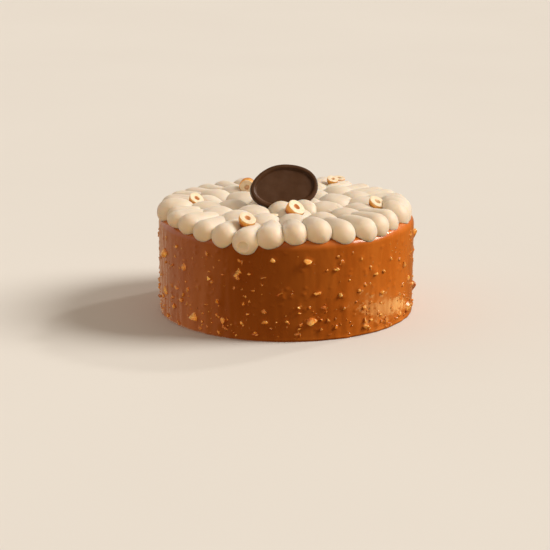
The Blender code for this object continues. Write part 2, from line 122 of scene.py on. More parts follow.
@dataclass
class Shape:
    """A surface as points, faces and a value per point for each mask."""

    points: np.ndarray
    faces: list[tuple[int, ...]]
    masks: dict[Mask, np.ndarray] = field(default_factory=dict)

    def to_object(
        self,
        name: str,
        finish: bpy.types.Material | None = None,
        collection: bpy.types.Collection | None = None,
    ) -> bpy.types.Object:
        """Make a mesh object of the shape.

        Args:
            name: the object's name.
            finish: its material, if it has one.
            collection: where it is linked, or the scene's own collection.

        Returns:
            The new object, its size in metres.
        """
        mesh = bpy.data.meshes.new(name)
        mesh.from_pydata((np.asarray(self.points) * MM).tolist(), [], self.faces)
        for mask, values in self.masks.items():
            layer = mesh.attributes.new(mask.value, "FLOAT", "POINT")
            layer.data.foreach_set("value", np.asarray(values, np.float32))
        mesh.update()
        if finish is not None:
            mesh.materials.append(finish)
        made = bpy.data.objects.new(name, mesh)
        (collection or bpy.context.scene.collection).objects.link(made)
        return made

    @staticmethod
    def joined(shapes: "list[Shape]") -> "Shape":
        """Put several shapes into one.

        Args:
            shapes: the shapes, all with the same masks.

        Returns:
            One shape that holds them all.
        """
        points: list[np.ndarray] = []
        faces: list[tuple[int, ...]] = []
        first = 0
        for shape in shapes:
            points.append(np.asarray(shape.points))
            faces.extend(tuple(corner + first for corner in face) for face in shape.faces)
            first += len(shape.points)
        masks = {mask: np.concatenate([shape.masks[mask] for shape in shapes]) for mask in shapes[0].masks}
        return Shape(np.concatenate(points), faces, masks)


def direction(angle: float) -> tuple[np.ndarray, np.ndarray]:
    """Find the directions at an angle round the cake.

    Args:
        angle: the angle in degrees.

    Returns:
        The outward and the sideways unit vectors.
    """
    turn = math.radians(angle)
    outward = np.array([math.sin(turn), -math.cos(turn), 0.0])
    sideways = np.array([math.cos(turn), math.sin(turn), 0.0])
    return outward, sideways


def place_at(angle: float, radius: float, height: float) -> np.ndarray:
    """Find the place at an angle round the cake, a radius and a height."""
    return direction(angle)[0] * radius + np.array([0.0, 0.0, height])


def turn_from(middle: float, angle: float | np.ndarray) -> float | np.ndarray:
    """Give the turn from one angle to another the short way round, in degrees."""
    return (angle - middle + 180.0) % 360.0 - 180.0


def on_ball(rng: random.Random) -> Point:
    """Draw a point on a ball of radius one.

    Args:
        rng: the seeded draws.

    Returns:
        The point.
    """
    up = rng.uniform(-1.0, 1.0)
    turn = rng.uniform(0.0, 2 * math.pi)
    flat = math.sqrt(1.0 - up * up)
    return (flat * math.cos(turn), flat * math.sin(turn), up)


def hollow_at(angle: float, spots: tuple[Point, ...]) -> float:
    """Sum smooth hollows round the cake.

    Args:
        angle: the angle in degrees.
        spots: hollows as (middle angle, spread, depth).

    Returns:
        Their depth at the angle.
    """
    return sum(
        depth * math.exp(-((turn_from(middle, angle) / spread) ** 2)) for middle, spread, depth in spots
    )


def noise_at(points: np.ndarray, scale: Point, seed: float) -> np.ndarray:
    """Read smooth noise at many points.

    Args:
        points: the places, in millimetres.
        scale: the size of the noise along X, Y and Z, in millimetres.
        seed: an offset that gives another pattern.

    Returns:
        One value for each point, about -1 to 1.
    """
    spread = np.asarray(points) / np.array(scale) + seed
    return np.array([noise.noise(Vector(place)) for place in spread])


@dataclass(frozen=True)
class Wave:
    """A smooth unevenness: its depth, its size along X, Y and Z, and its pattern."""

    depth: float
    size: Point
    seed: float = 0.0

    def at(self, points: np.ndarray) -> np.ndarray:
        """Give how far each point moves."""
        return self.depth * noise_at(points, self.size, self.seed)


def ring_faces(rings: int, around: int, first: int = 0) -> list[tuple[int, ...]]:
    """Make quads between rings of points.

    Args:
        rings: how many rings there are.
        around: points in each ring.
        first: index of the first point.

    Returns:
        The faces, each ring closed on itself.
    """
    step = np.arange(around)
    after = (step + 1) % around
    faces: list[tuple[int, ...]] = []
    for ring in range(rings - 1):
        low = first + ring * around
        high = low + around
        quads = np.stack([low + step, low + after, high + after, high + step], axis=1)
        faces.extend(map(tuple, quads.tolist()))
    return faces


def capped(rings: np.ndarray, start: np.ndarray, end: np.ndarray) -> Shape:
    """Close a stack of rings with a pole at each end.

    Args:
        rings: an array of rings, each of as many points.
        start: the pole before the first ring.
        end: the pole after the last ring.

    Returns:
        The closed shape.
    """
    count, around = rings.shape[:2]
    points = np.concatenate([[start], rings.reshape(-1, 3), [end]])
    last = len(points) - 1
    top = 1 + (count - 1) * around
    faces: list[tuple[int, ...]] = [(0, 1 + (step + 1) % around, 1 + step) for step in range(around)]
    faces += ring_faces(count, around, 1)
    faces += [(last, top + step, top + (step + 1) % around) for step in range(around)]
    return Shape(points, faces)


def turned(profile: list[tuple[float, float]], segments: int, phase: float = 0.0) -> Shape:
    """Turn a half outline about Z.

    Args:
        profile: (radius, height) pairs from the bottom pole to the top one.
        segments: points round the axis.
        phase: where the first point is, as a share of a segment.

    Returns:
        The closed shape.
    """
    turn = 2 * math.pi * (np.arange(segments) + phase) / segments
    circle = np.stack([np.cos(turn), np.sin(turn), np.zeros(segments)], axis=1)
    rings = np.array([circle * radius + [0.0, 0.0, height] for radius, height in profile[1:-1]])
    poles = [np.array([0.0, 0.0, profile[end][1]]) for end in (0, -1)]
    return capped(rings, *poles)


def hull(points: list[Point]) -> Shape:
    """Wrap points in their convex hull.

    Args:
        points: the corners.

    Returns:
        The convex shape.
    """
    shape = bmesh.new()
    for point in points:
        shape.verts.new(point)
    made = bmesh.ops.convex_hull(shape, input=shape.verts)
    spare = [v for v in made["geom_interior"] + made["geom_unused"] if isinstance(v, bmesh.types.BMVert)]
    bmesh.ops.delete(shape, geom=list(set(spare)), context="VERTS")
    bmesh.ops.recalc_face_normals(shape, faces=shape.faces)
    shape.verts.index_update()
    result = Shape(
        np.array([tuple(v.co) for v in shape.verts]),
        [tuple(v.index for v in face.verts) for face in shape.faces],
    )
    shape.free()
    return result


def apply_modifiers(target: bpy.types.Object) -> None:
    """Apply the object's modifiers to its mesh.

    Args:
        target: the object to change.
    """
    bpy.context.view_layer.update()
    graph = bpy.context.evaluated_depsgraph_get()
    result = bpy.data.meshes.new_from_object(target.evaluated_get(graph))
    target.modifiers.clear()
    before = target.data
    target.data = result
    bpy.data.meshes.remove(before)


def boolean(target: bpy.types.Object, operation: Operation, others: bpy.types.Collection) -> None:
    """Join or cut an object with a collection, which is then removed.

    Args:
        target: the object to change.
        operation: join or cut.
        others: the collection of closed shapes.
    """
    modifier = target.modifiers.new(operation.value.title(), "BOOLEAN")
    modifier.operation = operation.value
    modifier.operand_type = "COLLECTION"
    modifier.collection = others
    modifier.solver = SOLVER
    apply_modifiers(target)
    for obj in list(others.objects):
        bpy.data.objects.remove(obj, do_unlink=True)
    bpy.data.collections.remove(others)


def keep_largest(target: bpy.types.Object) -> None:
    """Drop loose scraps and sealed hollows from a mesh.

    Args:
        target: the object to change.
    """
    shape = bmesh.new()
    shape.from_mesh(target.data)
    waiting = set(shape.verts)
    shells: list[set[bmesh.types.BMVert]] = []
    while waiting:
        front = [waiting.pop()]
        shell = set(front)
        while front:
            for edge in front.pop().link_edges:
                for vertex in edge.verts:
                    if vertex in waiting:
                        waiting.remove(vertex)
                        shell.add(vertex)
                        front.append(vertex)
        shells.append(shell)
    shells.sort(key=len, reverse=True)
    for shell in shells[1:]:
        bmesh.ops.delete(shape, geom=list(shell), context="VERTS")
    shape.to_mesh(target.data)
    shape.free()


def subdivided(target: bpy.types.Object, levels: int, crease: float = 0.0) -> None:
    """Round an object by subdivision.

    Args:
        target: the object to change.
        levels: how many times it is subdivided.
        crease: how much of their sharpness its edges keep, from 0 to 1.
    """
    if crease:
        layer = target.data.attributes.new("crease_edge", "FLOAT", "EDGE")
        layer.data.foreach_set("value", [crease] * len(target.data.edges))
    modifier = target.modifiers.new("Round", "SUBSURF")
    modifier.levels = levels
    modifier.render_levels = levels
    apply_modifiers(target)


def smooth(target: bpy.types.Object, crease: float = 180.0) -> None:
    """Shade an object smooth, apart from its creases.

    Args:
        target: the object to shade.
        crease: the least angle of an edge that stays crisp.
    """
    mesh = target.data
    mesh.polygons.foreach_set("use_smooth", [True] * len(mesh.polygons))
    mesh.set_sharp_from_angle(angle=math.radians(crease))
    mesh.update()


def place(piece: bpy.types.Object, slot: Slot, *nodes: str) -> None:
    """Fix a piece to the cake and report it.

    Args:
        piece: the finished piece.
        slot: the record's slot for the piece; not used.
        nodes: the solids that it stands for.
    """
    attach(piece, BODY)
    if nodes:
        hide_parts(*nodes)
    piece.data.calc_loop_triangles()
    log.info("%s: %d triangles", piece.name, len(piece.data.loop_triangles))


class Graph:
    """A node tree under construction."""

    def __init__(self, tree: bpy.types.NodeTree) -> None:
        """Start from a tree."""
        self.tree = tree

    def add(
        self, kind: str, inputs: dict[str | int, object] | None = None, **settings: object
    ) -> bpy.types.Node:
        """Add a node.

        Args:
            kind: the node's type.
            inputs: values, or sockets to link, for its inputs by name or number.
            settings: its own properties.

        Returns:
            The new node.
        """
        made = self.tree.nodes.new(kind)
        for name, value in settings.items():
            setattr(made, name, value)
        for name, value in (inputs or {}).items():
            self.set(made, name, value)
        return made

    def set(self, target: bpy.types.Node, name: str | int, value: object) -> None:
        """Give one input a value or a link.

        Args:
            target: the node.
            name: the input's name or number.
            value: a socket to link, a colour or a number.
        """
        socket = target.inputs[name]
        if isinstance(value, bpy.types.NodeSocket):
            self.tree.links.new(value, socket)
        elif isinstance(value, tuple) and len(value) == 3 and socket.type == "RGBA":
            socket.default_value = (*value, 1.0)
        else:
            socket.default_value = value

    def mix(self, share: object, first: object, second: object) -> bpy.types.NodeSocket:
        """Mix two colours.

        Args:
            share: how much of the second one, a number or a socket.
            first: a colour or a socket.
            second: a colour or a socket.

        Returns:
            The mixed colour.
        """
        inputs = {MIX_SHARE: share, MIX_FIRST: first, MIX_SECOND: second}
        return self.add("ShaderNodeMix", inputs, data_type="RGBA").outputs[MIX_RESULT]

    def maths(self, operation: str, first: object, second: object) -> bpy.types.NodeSocket:
        """Work out one value from two.

        Args:
            operation: the Math node's operation.
            first: a number or a socket.
            second: a number or a socket.

        Returns:
            The result.
        """
        return self.add("ShaderNodeMath", {0: first, 1: second}, operation=operation).outputs[0]

    def ranged(
        self, value: object, low: object, high: object, to: tuple[float, float] = (0.0, 1.0)
    ) -> bpy.types.NodeSocket:
        """Map a value to another range, smoothly and clamped.

        Args:
            value: the socket that is read.
            low: the value that gives the first of to.
            high: the value that gives the second of to.
            to: the new range.

        Returns:
            The mapped value.
        """
        made = self.add(
            "ShaderNodeMapRange",
            {"Value": value, "From Min": low, "From Max": high, "To Min": to[0], "To Max": to[1]},
            interpolation_type="SMOOTHSTEP",
        )
        return made.outputs[0]

    def masked(
        self, mask: Mask, loose: bpy.types.NodeSocket, edge: tuple[float, float]
    ) -> bpy.types.NodeSocket:
        """Read a mask of the mesh and give it a loose edge.

        Args:
            mask: the mask.
            loose: what moves its edge to and fro.
            edge: the values between which it goes from 0 to 1.

        Returns:
            How much of the masked tone shows.
        """
        read = self.add("ShaderNodeAttribute", attribute_name=mask.value)
        return self.ranged(self.maths("ADD", read.outputs["Fac"], loose), *edge)


class GroupKit:
    """The node groups that several finishes share, each built when it is first used."""

    @staticmethod
    def start(name: str, inputs: dict[str, object], outputs: dict[str, Socket]) -> Graph:
        """Open a new group with its sockets.

        Args:
            name: the group's name.
            inputs: the usual value of each input, a number or a colour.
            outputs: the kind of each output.

        Returns:
            The group's graph.
        """
        tree = bpy.data.node_groups.new(name, "ShaderNodeTree")
        for label, value in inputs.items():
            kind = Socket.COLOUR if isinstance(value, tuple) else Socket.VALUE
            socket = tree.interface.new_socket(name=label, in_out="INPUT", socket_type=kind.value)
            socket.default_value = value
        for label, kind in outputs.items():
            tree.interface.new_socket(name=label, in_out="OUTPUT", socket_type=kind.value)
        return Graph(tree)

    @cached_property
    def two_tone(self) -> bpy.types.NodeTree:
        """Blend two tones of one colour in soft patches.

        Returns:
            The group, with outputs Colour and Mask.
        """
        graph = self.start(
            "two_tone",
            {
                "Dark": (0.2, 0.2, 0.2, 1.0),
                "Light": (0.8, 0.8, 0.8, 1.0),
                "Scale": 60.0,
                "Height Stretch": 1.0,
                "Softness": 0.2,
            },
            {"Colour": Socket.COLOUR, "Mask": Socket.VALUE},
        )
        given = graph.add("NodeGroupInput")
        where = graph.add("ShaderNodeTexCoord")
        parts = graph.add("ShaderNodeSeparateXYZ", {"Vector": where.outputs["Object"]})
        level = graph.maths("DIVIDE", parts.outputs["Z"], given.outputs["Height Stretch"])
        spot = graph.add(
            "ShaderNodeCombineXYZ", {"X": parts.outputs["X"], "Y": parts.outputs["Y"], "Z": level}
        )
        cloud = graph.add(
            "ShaderNodeTexNoise",
            {"Vector": spot.outputs[0], "Scale": given.outputs["Scale"], "Detail": 4.0, "Roughness": 0.55},
        )
        low = graph.maths("SUBTRACT", 0.5, given.outputs["Softness"])
        high = graph.maths("ADD", 0.5, given.outputs["Softness"])
        mask = graph.ranged(cloud.outputs[0], low, high)
        colour = graph.mix(mask, given.outputs["Dark"], given.outputs["Light"])
        graph.add("NodeGroupOutput", {"Colour": colour, "Mask": mask})
        return graph.tree

    @cached_property
    def relief(self) -> bpy.types.NodeTree:
        """Give fine unevenness and pits as a height.

        Returns:
            The group, with the output Height.
        """
        graph = self.start(
            "fine_relief",
            {"Scale": 400.0, "Pit Scale": 500.0, "Pit Share": 0.1, "Pit Depth": 0.5},
            {"Height": Socket.VALUE},
        )
        given = graph.add("NodeGroupInput")
        where = graph.add("ShaderNodeTexCoord")
        spot = where.outputs["Object"]
        wave = graph.add(
            "ShaderNodeTexNoise", {"Vector": spot, "Scale": given.outputs["Scale"], "Detail": 5.0}
        )
        cells = graph.add("ShaderNodeTexVoronoi", {"Vector": spot, "Scale": given.outputs["Pit Scale"]})
        inside = graph.ranged(cells.outputs["Distance"], 0.0, given.outputs["Pit Share"])
        pit = graph.maths("MULTIPLY", graph.maths("SUBTRACT", inside, 1.0), given.outputs["Pit Depth"])
        graph.add("NodeGroupOutput", {"Height": graph.maths("ADD", wave.outputs[0], pit)})
        return graph.tree

    @cached_property
    def loose_edge(self) -> bpy.types.NodeTree:
        """Break up the edge between two tones.

        Returns:
            The group, with the output Offset.
        """
        graph = self.start(
            "loose_edge", {"Scale": 400.0, "Detail": 2.0, "Breakup": 0.3}, {"Offset": Socket.VALUE}
        )
        given = graph.add("NodeGroupInput")
        where = graph.add("ShaderNodeTexCoord")
        cloud = graph.add(
            "ShaderNodeTexNoise",
            {
                "Vector": where.outputs["Object"],
                "Scale": given.outputs["Scale"],
                "Detail": given.outputs["Detail"],
            },
        )
        spread = graph.maths("MULTIPLY", given.outputs["Breakup"], 2.0)
        offset = graph.maths("MULTIPLY", graph.maths("SUBTRACT", cloud.outputs[0], 0.5), spread)
        graph.add("NodeGroupOutput", {"Offset": offset})
        return graph.tree


GROUPS = GroupKit()


@dataclass(frozen=True)
class Finish:
    """What the finishes share: two tones, their patches, gloss and fine relief."""

    name: str
    dark: Colour
    light: Colour
    patch_scale: float = 60.0
    height_stretch: float = 1.0
    softness: float = 0.2
    roughness: tuple[float, float] = (0.3, 0.4)
    relief_scale: float = 400.0
    pit_scale: float = 500.0
    pit_share: float = 0.1
    pit_depth: float = 0.4
    relief_strength: float = 0.3
    relief_distance: float = 0.0002
    specular: float = 0.5
    coat: float = 0.0
    coat_roughness: float = 0.1
    subsurface: float = 0.0
    subsurface_scale: float = 0.003
    subsurface_radius: Point = (1.0, 0.6, 0.3)

    def colour(self, graph: Graph, base: bpy.types.NodeSocket) -> bpy.types.NodeSocket:
        """Give the base colour as it is; other finishes change it."""
        return base

    def build(self) -> bpy.types.Material:
        """Make the material.

        Returns:
            The procedural material.
        """
        made = bpy.data.materials.new(self.name)
        made.use_nodes = True
        graph = Graph(made.node_tree)
        shader = made.node_tree.nodes["Principled BSDF"]
        tones = graph.add(
            "ShaderNodeGroup",
            {
                "Dark": self.dark,
                "Light": self.light,
                "Scale": self.patch_scale,
                "Height Stretch": self.height_stretch,
                "Softness": self.softness,
            },
            node_tree=GROUPS.two_tone,
        )
        relief = graph.add(
            "ShaderNodeGroup",
            {
                "Scale": self.relief_scale,
                "Pit Scale": self.pit_scale,
                "Pit Share": self.pit_share,
                "Pit Depth": self.pit_depth,
            },
            node_tree=GROUPS.relief,
        )
        bump = graph.add(
            "ShaderNodeBump",
            {
                "Strength": self.relief_strength,
                "Distance": self.relief_distance,
                "Height": relief.outputs["Height"],
            },
        )
        for label, value in {
            "Base Color": self.colour(graph, tones.outputs["Colour"]),
            "Roughness": graph.ranged(tones.outputs["Mask"], 0.0, 1.0, self.roughness),
            "Normal": bump.outputs[0],
            "Specular IOR Level": self.specular,
            "Coat Weight": self.coat,
            "Coat Roughness": self.coat_roughness,
            "Subsurface Weight": self.subsurface,
            "Subsurface Scale": self.subsurface_scale,
            "Subsurface Radius": self.subsurface_radius,
        }.items():
            graph.set(shader, label, value)
        return made


@dataclass(frozen=True)
class BrokenFinish(Finish):
    """A finish whose tones meet along broken edges."""

    breakup: float = 0.3
    breakup_scale: float = 400.0
    breakup_detail: float = 2.0

    def loose(self, graph: Graph) -> bpy.types.NodeSocket:
        """Read how far the edges between the tones move to and fro.

        Args:
            graph: the material's graph.

        Returns:
            The offset of an edge.
        """
        made = graph.add(
            "ShaderNodeGroup",
            {"Scale": self.breakup_scale, "Detail": self.breakup_detail, "Breakup": self.breakup},
            node_tree=GROUPS.loose_edge,
        )
        return made.outputs["Offset"]


@dataclass(frozen=True)
class NutFinish(BrokenFinish):
    """Hazelnut flesh with a toasted outside and hollow, read from the mesh's masks."""

    golden: Colour = (0.80, 0.40, 0.085)
    golden_edge: tuple[float, float] = (0.02, 0.22)
    skin: Colour = (0.44, 0.12, 0.02)
    skin_edge: tuple[float, float] = (0.25, 1.0)
    hollow: Colour = (0.66, 0.30, 0.12)
    hollow_edge: tuple[float, float] = (0.15, 0.95)

    def colour(self, graph: Graph, base: bpy.types.NodeSocket) -> bpy.types.NodeSocket:
        """Lay skin and hollow over the flesh.

        Args:
            graph: the material's graph.
            base: the colour of the flesh.

        Returns:
            The colour of the whole nut.
        """
        loose = self.loose(graph)
        result = base
        for mask, tone, edge in (
            (Mask.SKIN, self.golden, self.golden_edge),
            (Mask.SKIN, self.skin, self.skin_edge),
            (Mask.HOLLOW, self.hollow, self.hollow_edge),
        ):
            result = graph.mix(graph.masked(mask, loose, edge), result, tone)
        return result


@dataclass(frozen=True)
class CoatedNutFinish(BrokenFinish):
    """Chopped nut under glaze, bare and golden where it stands out most."""

    glaze: Colour = (0.52, 0.13, 0.014)
    covered: Colour = (0.56, 0.25, 0.05)
    burnt: Colour = (0.30, 0.07, 0.012)
    tip_edge: tuple[float, float] = (0.0, 0.45)
    bare_edge: tuple[float, float] = (0.1, 0.35)
    burnt_edge: tuple[float, float] = (0.88, 1.05)

    def colour(self, graph: Graph, base: bpy.types.NodeSocket) -> bpy.types.NodeSocket:
        """Lay glaze over the lower part of each nut.

        Args:
            graph: the material's graph.
            base: the colour of the nut.

        Returns:
            The colour of the coated nut.
        """
        loose = self.loose(graph)
        flesh = graph.mix(graph.masked(Mask.BARE, loose, self.bare_edge), self.covered, base)
        flesh = graph.mix(graph.masked(Mask.BARE, loose, self.burnt_edge), flesh, self.burnt)
        return graph.mix(graph.masked(Mask.TIP, loose, self.tip_edge), self.glaze, flesh)


GLAZE = Finish(
    "praline_glaze_finish",
    dark=(0.60, 0.138, 0.010),
    light=(0.72, 0.190, 0.017),
    patch_scale=38.0,
    height_stretch=3.0,
    softness=0.22,
    roughness=(0.22, 0.34),
    relief_scale=260.0,
    pit_scale=300.0,
    pit_share=0.12,
    pit_depth=-0.5,
    relief_strength=0.35,
    relief_distance=0.0003,
    specular=0.3,
    coat=0.35,
    coat_roughness=0.07,
    subsurface=0.05,
    subsurface_scale=0.002,
)
CREAM = Finish(
    "vanilla_cream_finish",
    dark=(0.64, 0.575, 0.487),
    light=(0.685, 0.636, 0.56),
    patch_scale=45.0,
    softness=0.3,
    roughness=(0.42, 0.55),
    relief_scale=320.0,
    pit_scale=170.0,
    pit_share=0.07,
    pit_depth=0.8,
    relief_strength=0.25,
    relief_distance=0.0002,
    specular=0.35,
    subsurface=0.9,
    subsurface_scale=0.0045,
    subsurface_radius=(1.0, 0.72, 0.48),
)
CHOCOLATE = Finish(
    "dark_chocolate_finish",
    dark=(0.068, 0.027, 0.0095),
    light=(0.090, 0.038, 0.015),
    patch_scale=90.0,
    softness=0.25,
    roughness=(0.36, 0.48),
    relief_scale=500.0,
    pit_scale=600.0,
    pit_share=0.15,
    pit_depth=0.3,
    relief_strength=0.4,
    relief_distance=0.00015,
    specular=0.15,
    coat=0.12,
    coat_roughness=0.16,
)
HAZELNUT = NutFinish(
    "hazelnut_finish",
    dark=(0.73, 0.59, 0.41),
    light=(0.80, 0.71, 0.57),
    patch_scale=300.0,
    softness=0.25,
    roughness=(0.45, 0.6),
    relief_scale=900.0,
    pit_scale=700.0,
    relief_strength=0.4,
    subsurface=0.15,
    subsurface_scale=0.0015,
    breakup=0.35,
    breakup_scale=350.0,
    breakup_detail=3.0,
)
CHOPPED = CoatedNutFinish(
    "chopped_nut_finish",
    dark=(0.66, 0.27, 0.035),
    light=(0.85, 0.53, 0.17),
    patch_scale=260.0,
    softness=0.2,
    roughness=(0.22, 0.35),
    relief_scale=800.0,
    pit_scale=600.0,
    relief_strength=0.5,
    specular=0.3,
    coat=0.25,
    coat_roughness=0.08,
    subsurface=0.5,
    subsurface_scale=0.002,
    breakup_scale=500.0,
)
CRUMB = replace(CHOPPED, name="nut_crumb_finish", glaze=(0.48, 0.17, 0.03), tip_edge=(0.12, 0.65))
FLOOR = Finish(
    "floor_finish",
    dark=(0.718, 0.709, 0.69),
    light=(0.743, 0.739, 0.72),
    patch_scale=1.5,
    softness=0.4,
    roughness=(0.75, 0.85),
    relief_scale=60.0,
    relief_strength=0.03,
    specular=0.15,
)


@dataclass
class GlazedCake:
    """The round cake under its glaze, with the chopped nuts that the glaze holds."""

    node: str = "glazed_cake"
    crease: float = 60.0
    radius: float = 100.0
    foot_radius: float = 99.6
    height: float = 76.0
    edge_round: float = 6.0
    foot_round: float = 1.2
    segments: int = 640
    wall_rows: int = 110
    round_rows: int = 12
    top_rows: tuple[float, ...] = (92.0, 88.0, 70.0, 40.0, 12.0)
    base_rows: tuple[float, ...] = (12.0, 40.0, 70.0, 90.0)
    room_mesh: tuple[int, int] = (176, 8)

    bits: int = 112
    bit_seed: int = 11
    bit_tries: int = 14
    bit_radius: tuple[float, float] = (2.1, 4.0)
    bit_size_power: float = 1.7
    bit_points: int = 10
    bit_lowest: float = 0.6
    bit_clearance: float = 2.6
    bit_sink: float = 0.4
    bit_stretch: tuple[float, float] = (0.75, 1.35)
    bit_swell: float = 1.12
    bit_crease: float = 0.55

    look_seed: int = 17
    grains: int = 420
    grain_seed: int = 41
    grain_radius: tuple[float, float] = (0.8, 2.2)
    grain_rise: float = 0.22
    grain_lowest: float = 2.0

    crumbs: int = 700
    crumb_seed: int = 29
    crumb_radius: tuple[float, float] = (0.5, 2.5)
    crumb_size_power: float = 1.7
    crumb_low_share: float = 0.3
    crumb_low_height: float = 24.0
    crumb_lowest: float = 0.5
    crumb_clearance: float = 1.0

    head_bottom: float = 71.2
    sag_spots: tuple[Point, ...] = SAG_SPOTS

    broad_wave: Wave = Wave(0.35, (42.0, 42.0, 50.0), 3.1)
    drip_wave: Wave = Wave(1.0, (4.6, 4.6, 44.0), 7.7)
    drip_depth: float = 0.16
    drip_top_share: float = 0.6
    drip_spots: tuple[Point, ...] = ((-78.0, 26.0, 0.30), (52.0, 40.0, 0.14), (150.0, 50.0, 0.16))
    ripple_wave: Wave = Wave(0.07, (3.4, 3.4, 6.0), 1.9)
    pool: float = 0.8
    pool_height: float = 4.0
    pool_share: float = 0.6
    pool_wave: Wave = Wave(0.8, (9.0, 9.0, 40.0), 4.4)
    collar: float = 0.2
    collar_spread: float = 1.25
    bump_fall: float = 2.2
    top_fade: float = 0.25
    wall_margin: float = 0.5

    def profile(self, grow: float, steps: int) -> list[tuple[float, float]]:
        """Give the cake's half outline.

        Args:
            grow: how far it is pushed out.
            steps: faces of the rounded edge.

        Returns:
            (radius, height) pairs from the middle of the base to the middle of the top.
        """
        round_radius = self.edge_round + grow
        foot = self.foot_radius + grow
        outline = [(0.0, -grow), (foot - self.foot_round, -grow), (foot, self.foot_round - grow)]
        for step in range(steps + 1):
            turn = math.pi / 2 * step / steps
            across = self.radius + grow - round_radius + round_radius * math.cos(turn)
            outline.append((across, self.height + grow - round_radius + round_radius * math.sin(turn)))
        outline.append((0.0, self.height + grow))
        return outline

    def room(self) -> Shape:
        """Shape the room that the cake takes out of the cream."""
        segments, steps = self.room_mesh
        return turned(self.profile(GAP, steps), segments)

    def sag_at(self, angle: float) -> float:
        """How far the cream hangs over the edge at an angle."""
        return hollow_at(angle, self.sag_spots)

    def apart(self, angle: float, height: float, spot: Point) -> float:
        """Measure over the wall to the edge of a spot already taken.

        Args:
            angle: the place's angle.
            height: the place's height.
            spot: (angle, height, radius) of the spot.

        Returns:
            The distance.
        """
        around = math.radians(turn_from(spot[0], angle)) * self.radius
        return math.hypot(around, height - spot[1]) - spot[2]

    def bit_spots(self, rng: random.Random) -> list[Point]:
        """Scatter the large chopped nuts evenly, the largest first.

        Args:
            rng: the seeded draws.

        Returns:
            (angle, height, radius) of each.
        """
        smallest, largest = self.bit_radius
        sizes = []
        for _ in range(self.bits):
            sizes.append(smallest + (largest - smallest) * rng.random() ** self.bit_size_power)
        sizes.sort(reverse=True)
        spots: list[Point] = []
        for size in sizes:
            best: tuple[float, float, float] | None = None
            for _ in range(self.bit_tries):
                angle = rng.uniform(-180.0, 180.0)
                highest = self.head_bottom - self.sag_at(angle) - size - self.bit_clearance
                height = rng.uniform(size * self.bit_stretch[1] + self.bit_lowest, highest)
                nearest = min([self.apart(angle, height, spot) for spot in spots] or [math.inf])
                if best is None or nearest > best[0]:
                    best = (nearest, angle, height)
            spots.append((best[1], best[2], size))
        return spots

    def crumb_spots(self, rng: random.Random) -> list[Point]:
        """Scatter the fine crumbs, with more of them low on the wall.

        Args:
            rng: the seeded draws.

        Returns:
            (angle, height, radius) of each.
        """
        smallest, largest = self.crumb_radius
        spots: list[Point] = []
        for _ in range(self.crumbs):
            size = smallest + (largest - smallest) * rng.random() ** self.crumb_size_power
            angle = rng.uniform(-180.0, 180.0)
            highest = self.head_bottom - self.sag_at(angle) - size - self.crumb_clearance
            if rng.random() < self.crumb_low_share:
                highest = self.crumb_low_height
            spots.append((angle, rng.uniform(size + self.crumb_lowest, highest), size))
        return spots

    def bit_corners(self, rng: random.Random, size: float) -> list[Point]:
        """Draw the corners of one chopped piece about its own middle.

        Args:
            rng: the seeded draws.
            size: its mean radius.

        Returns:
            Corners as (outward, sideways, up).
        """
        stretch = [rng.uniform(*self.bit_stretch) for _ in range(3)]
        corners = [on_ball(rng) for _ in range(self.bit_points)]
        return [tuple(size * share * part for share, part in zip(stretch, corner)) for corner in corners]

    def bit_shapes(self, rng: random.Random, spots: list[Point], swell: float) -> list[Shape]:
        """Shape the pieces at their spots, with how far each point stands out.

        Args:
            rng: the seeded draws.
            spots: (angle, height, radius) of each piece.
            swell: growth that makes up for rounding.

        Returns:
            The pieces.
        """
        shapes: list[Shape] = []
        look = random.Random(self.look_seed)
        for angle, height, size in spots:
            outward, sideways = direction(angle)
            middle = place_at(angle, self.radius - self.bit_sink * size, height)
            corners = [
                middle + swell * (outward * x + sideways * y + np.array([0.0, 0.0, z]))
                for x, y, z in self.bit_corners(rng, size)
            ]
            shape = hull([tuple(corner) for corner in corners])
            out = np.hypot(shape.points[:, 0], shape.points[:, 1]) - self.radius
            shape.masks[Mask.TIP] = np.clip(out / size, 0.0, 1.0)
            shape.masks[Mask.BARE] = np.full(len(shape.points), look.random())
            shapes.append(shape)
        return shapes

    def wall_offset(self, points: np.ndarray, spots: list[Point]) -> np.ndarray:
        """Work out the unevenness of the glaze over the wall.

        Args:
            points: points of the smooth wall.
            spots: (angle, height, radius) of the nuts that it wraps.

        Returns:
            How far each point moves outward.
        """
        height = points[:, 2]
        angle = np.degrees(np.arctan2(points[:, 0], -points[:, 1]))
        low = np.clip(1.0 - height / self.height, 0.0, 1.0)
        depth = self.drip_depth + np.array([hollow_at(turn, self.drip_spots) for turn in angle])
        pool = np.clip(1.0 - height / self.pool_height, 0.0, 1.0) ** 2
        offset = self.broad_wave.at(points)
        offset += depth * (self.drip_top_share + low) * self.drip_wave.at(points)
        offset += self.ripple_wave.at(points)
        offset += self.pool * pool * (self.pool_share + self.pool_wave.at(points))
        for middle, level, spread, rise in self.bumps(spots):
            around = np.radians(turn_from(middle, angle)) * self.radius
            near = (np.abs(around) < 2 * spread) & (np.abs(height - level) < 2 * spread)
            apart = (around[near] ** 2 + (height[near] - level) ** 2) / spread**2
            offset[near] += rise * np.exp(-self.bump_fall * apart)
        return offset

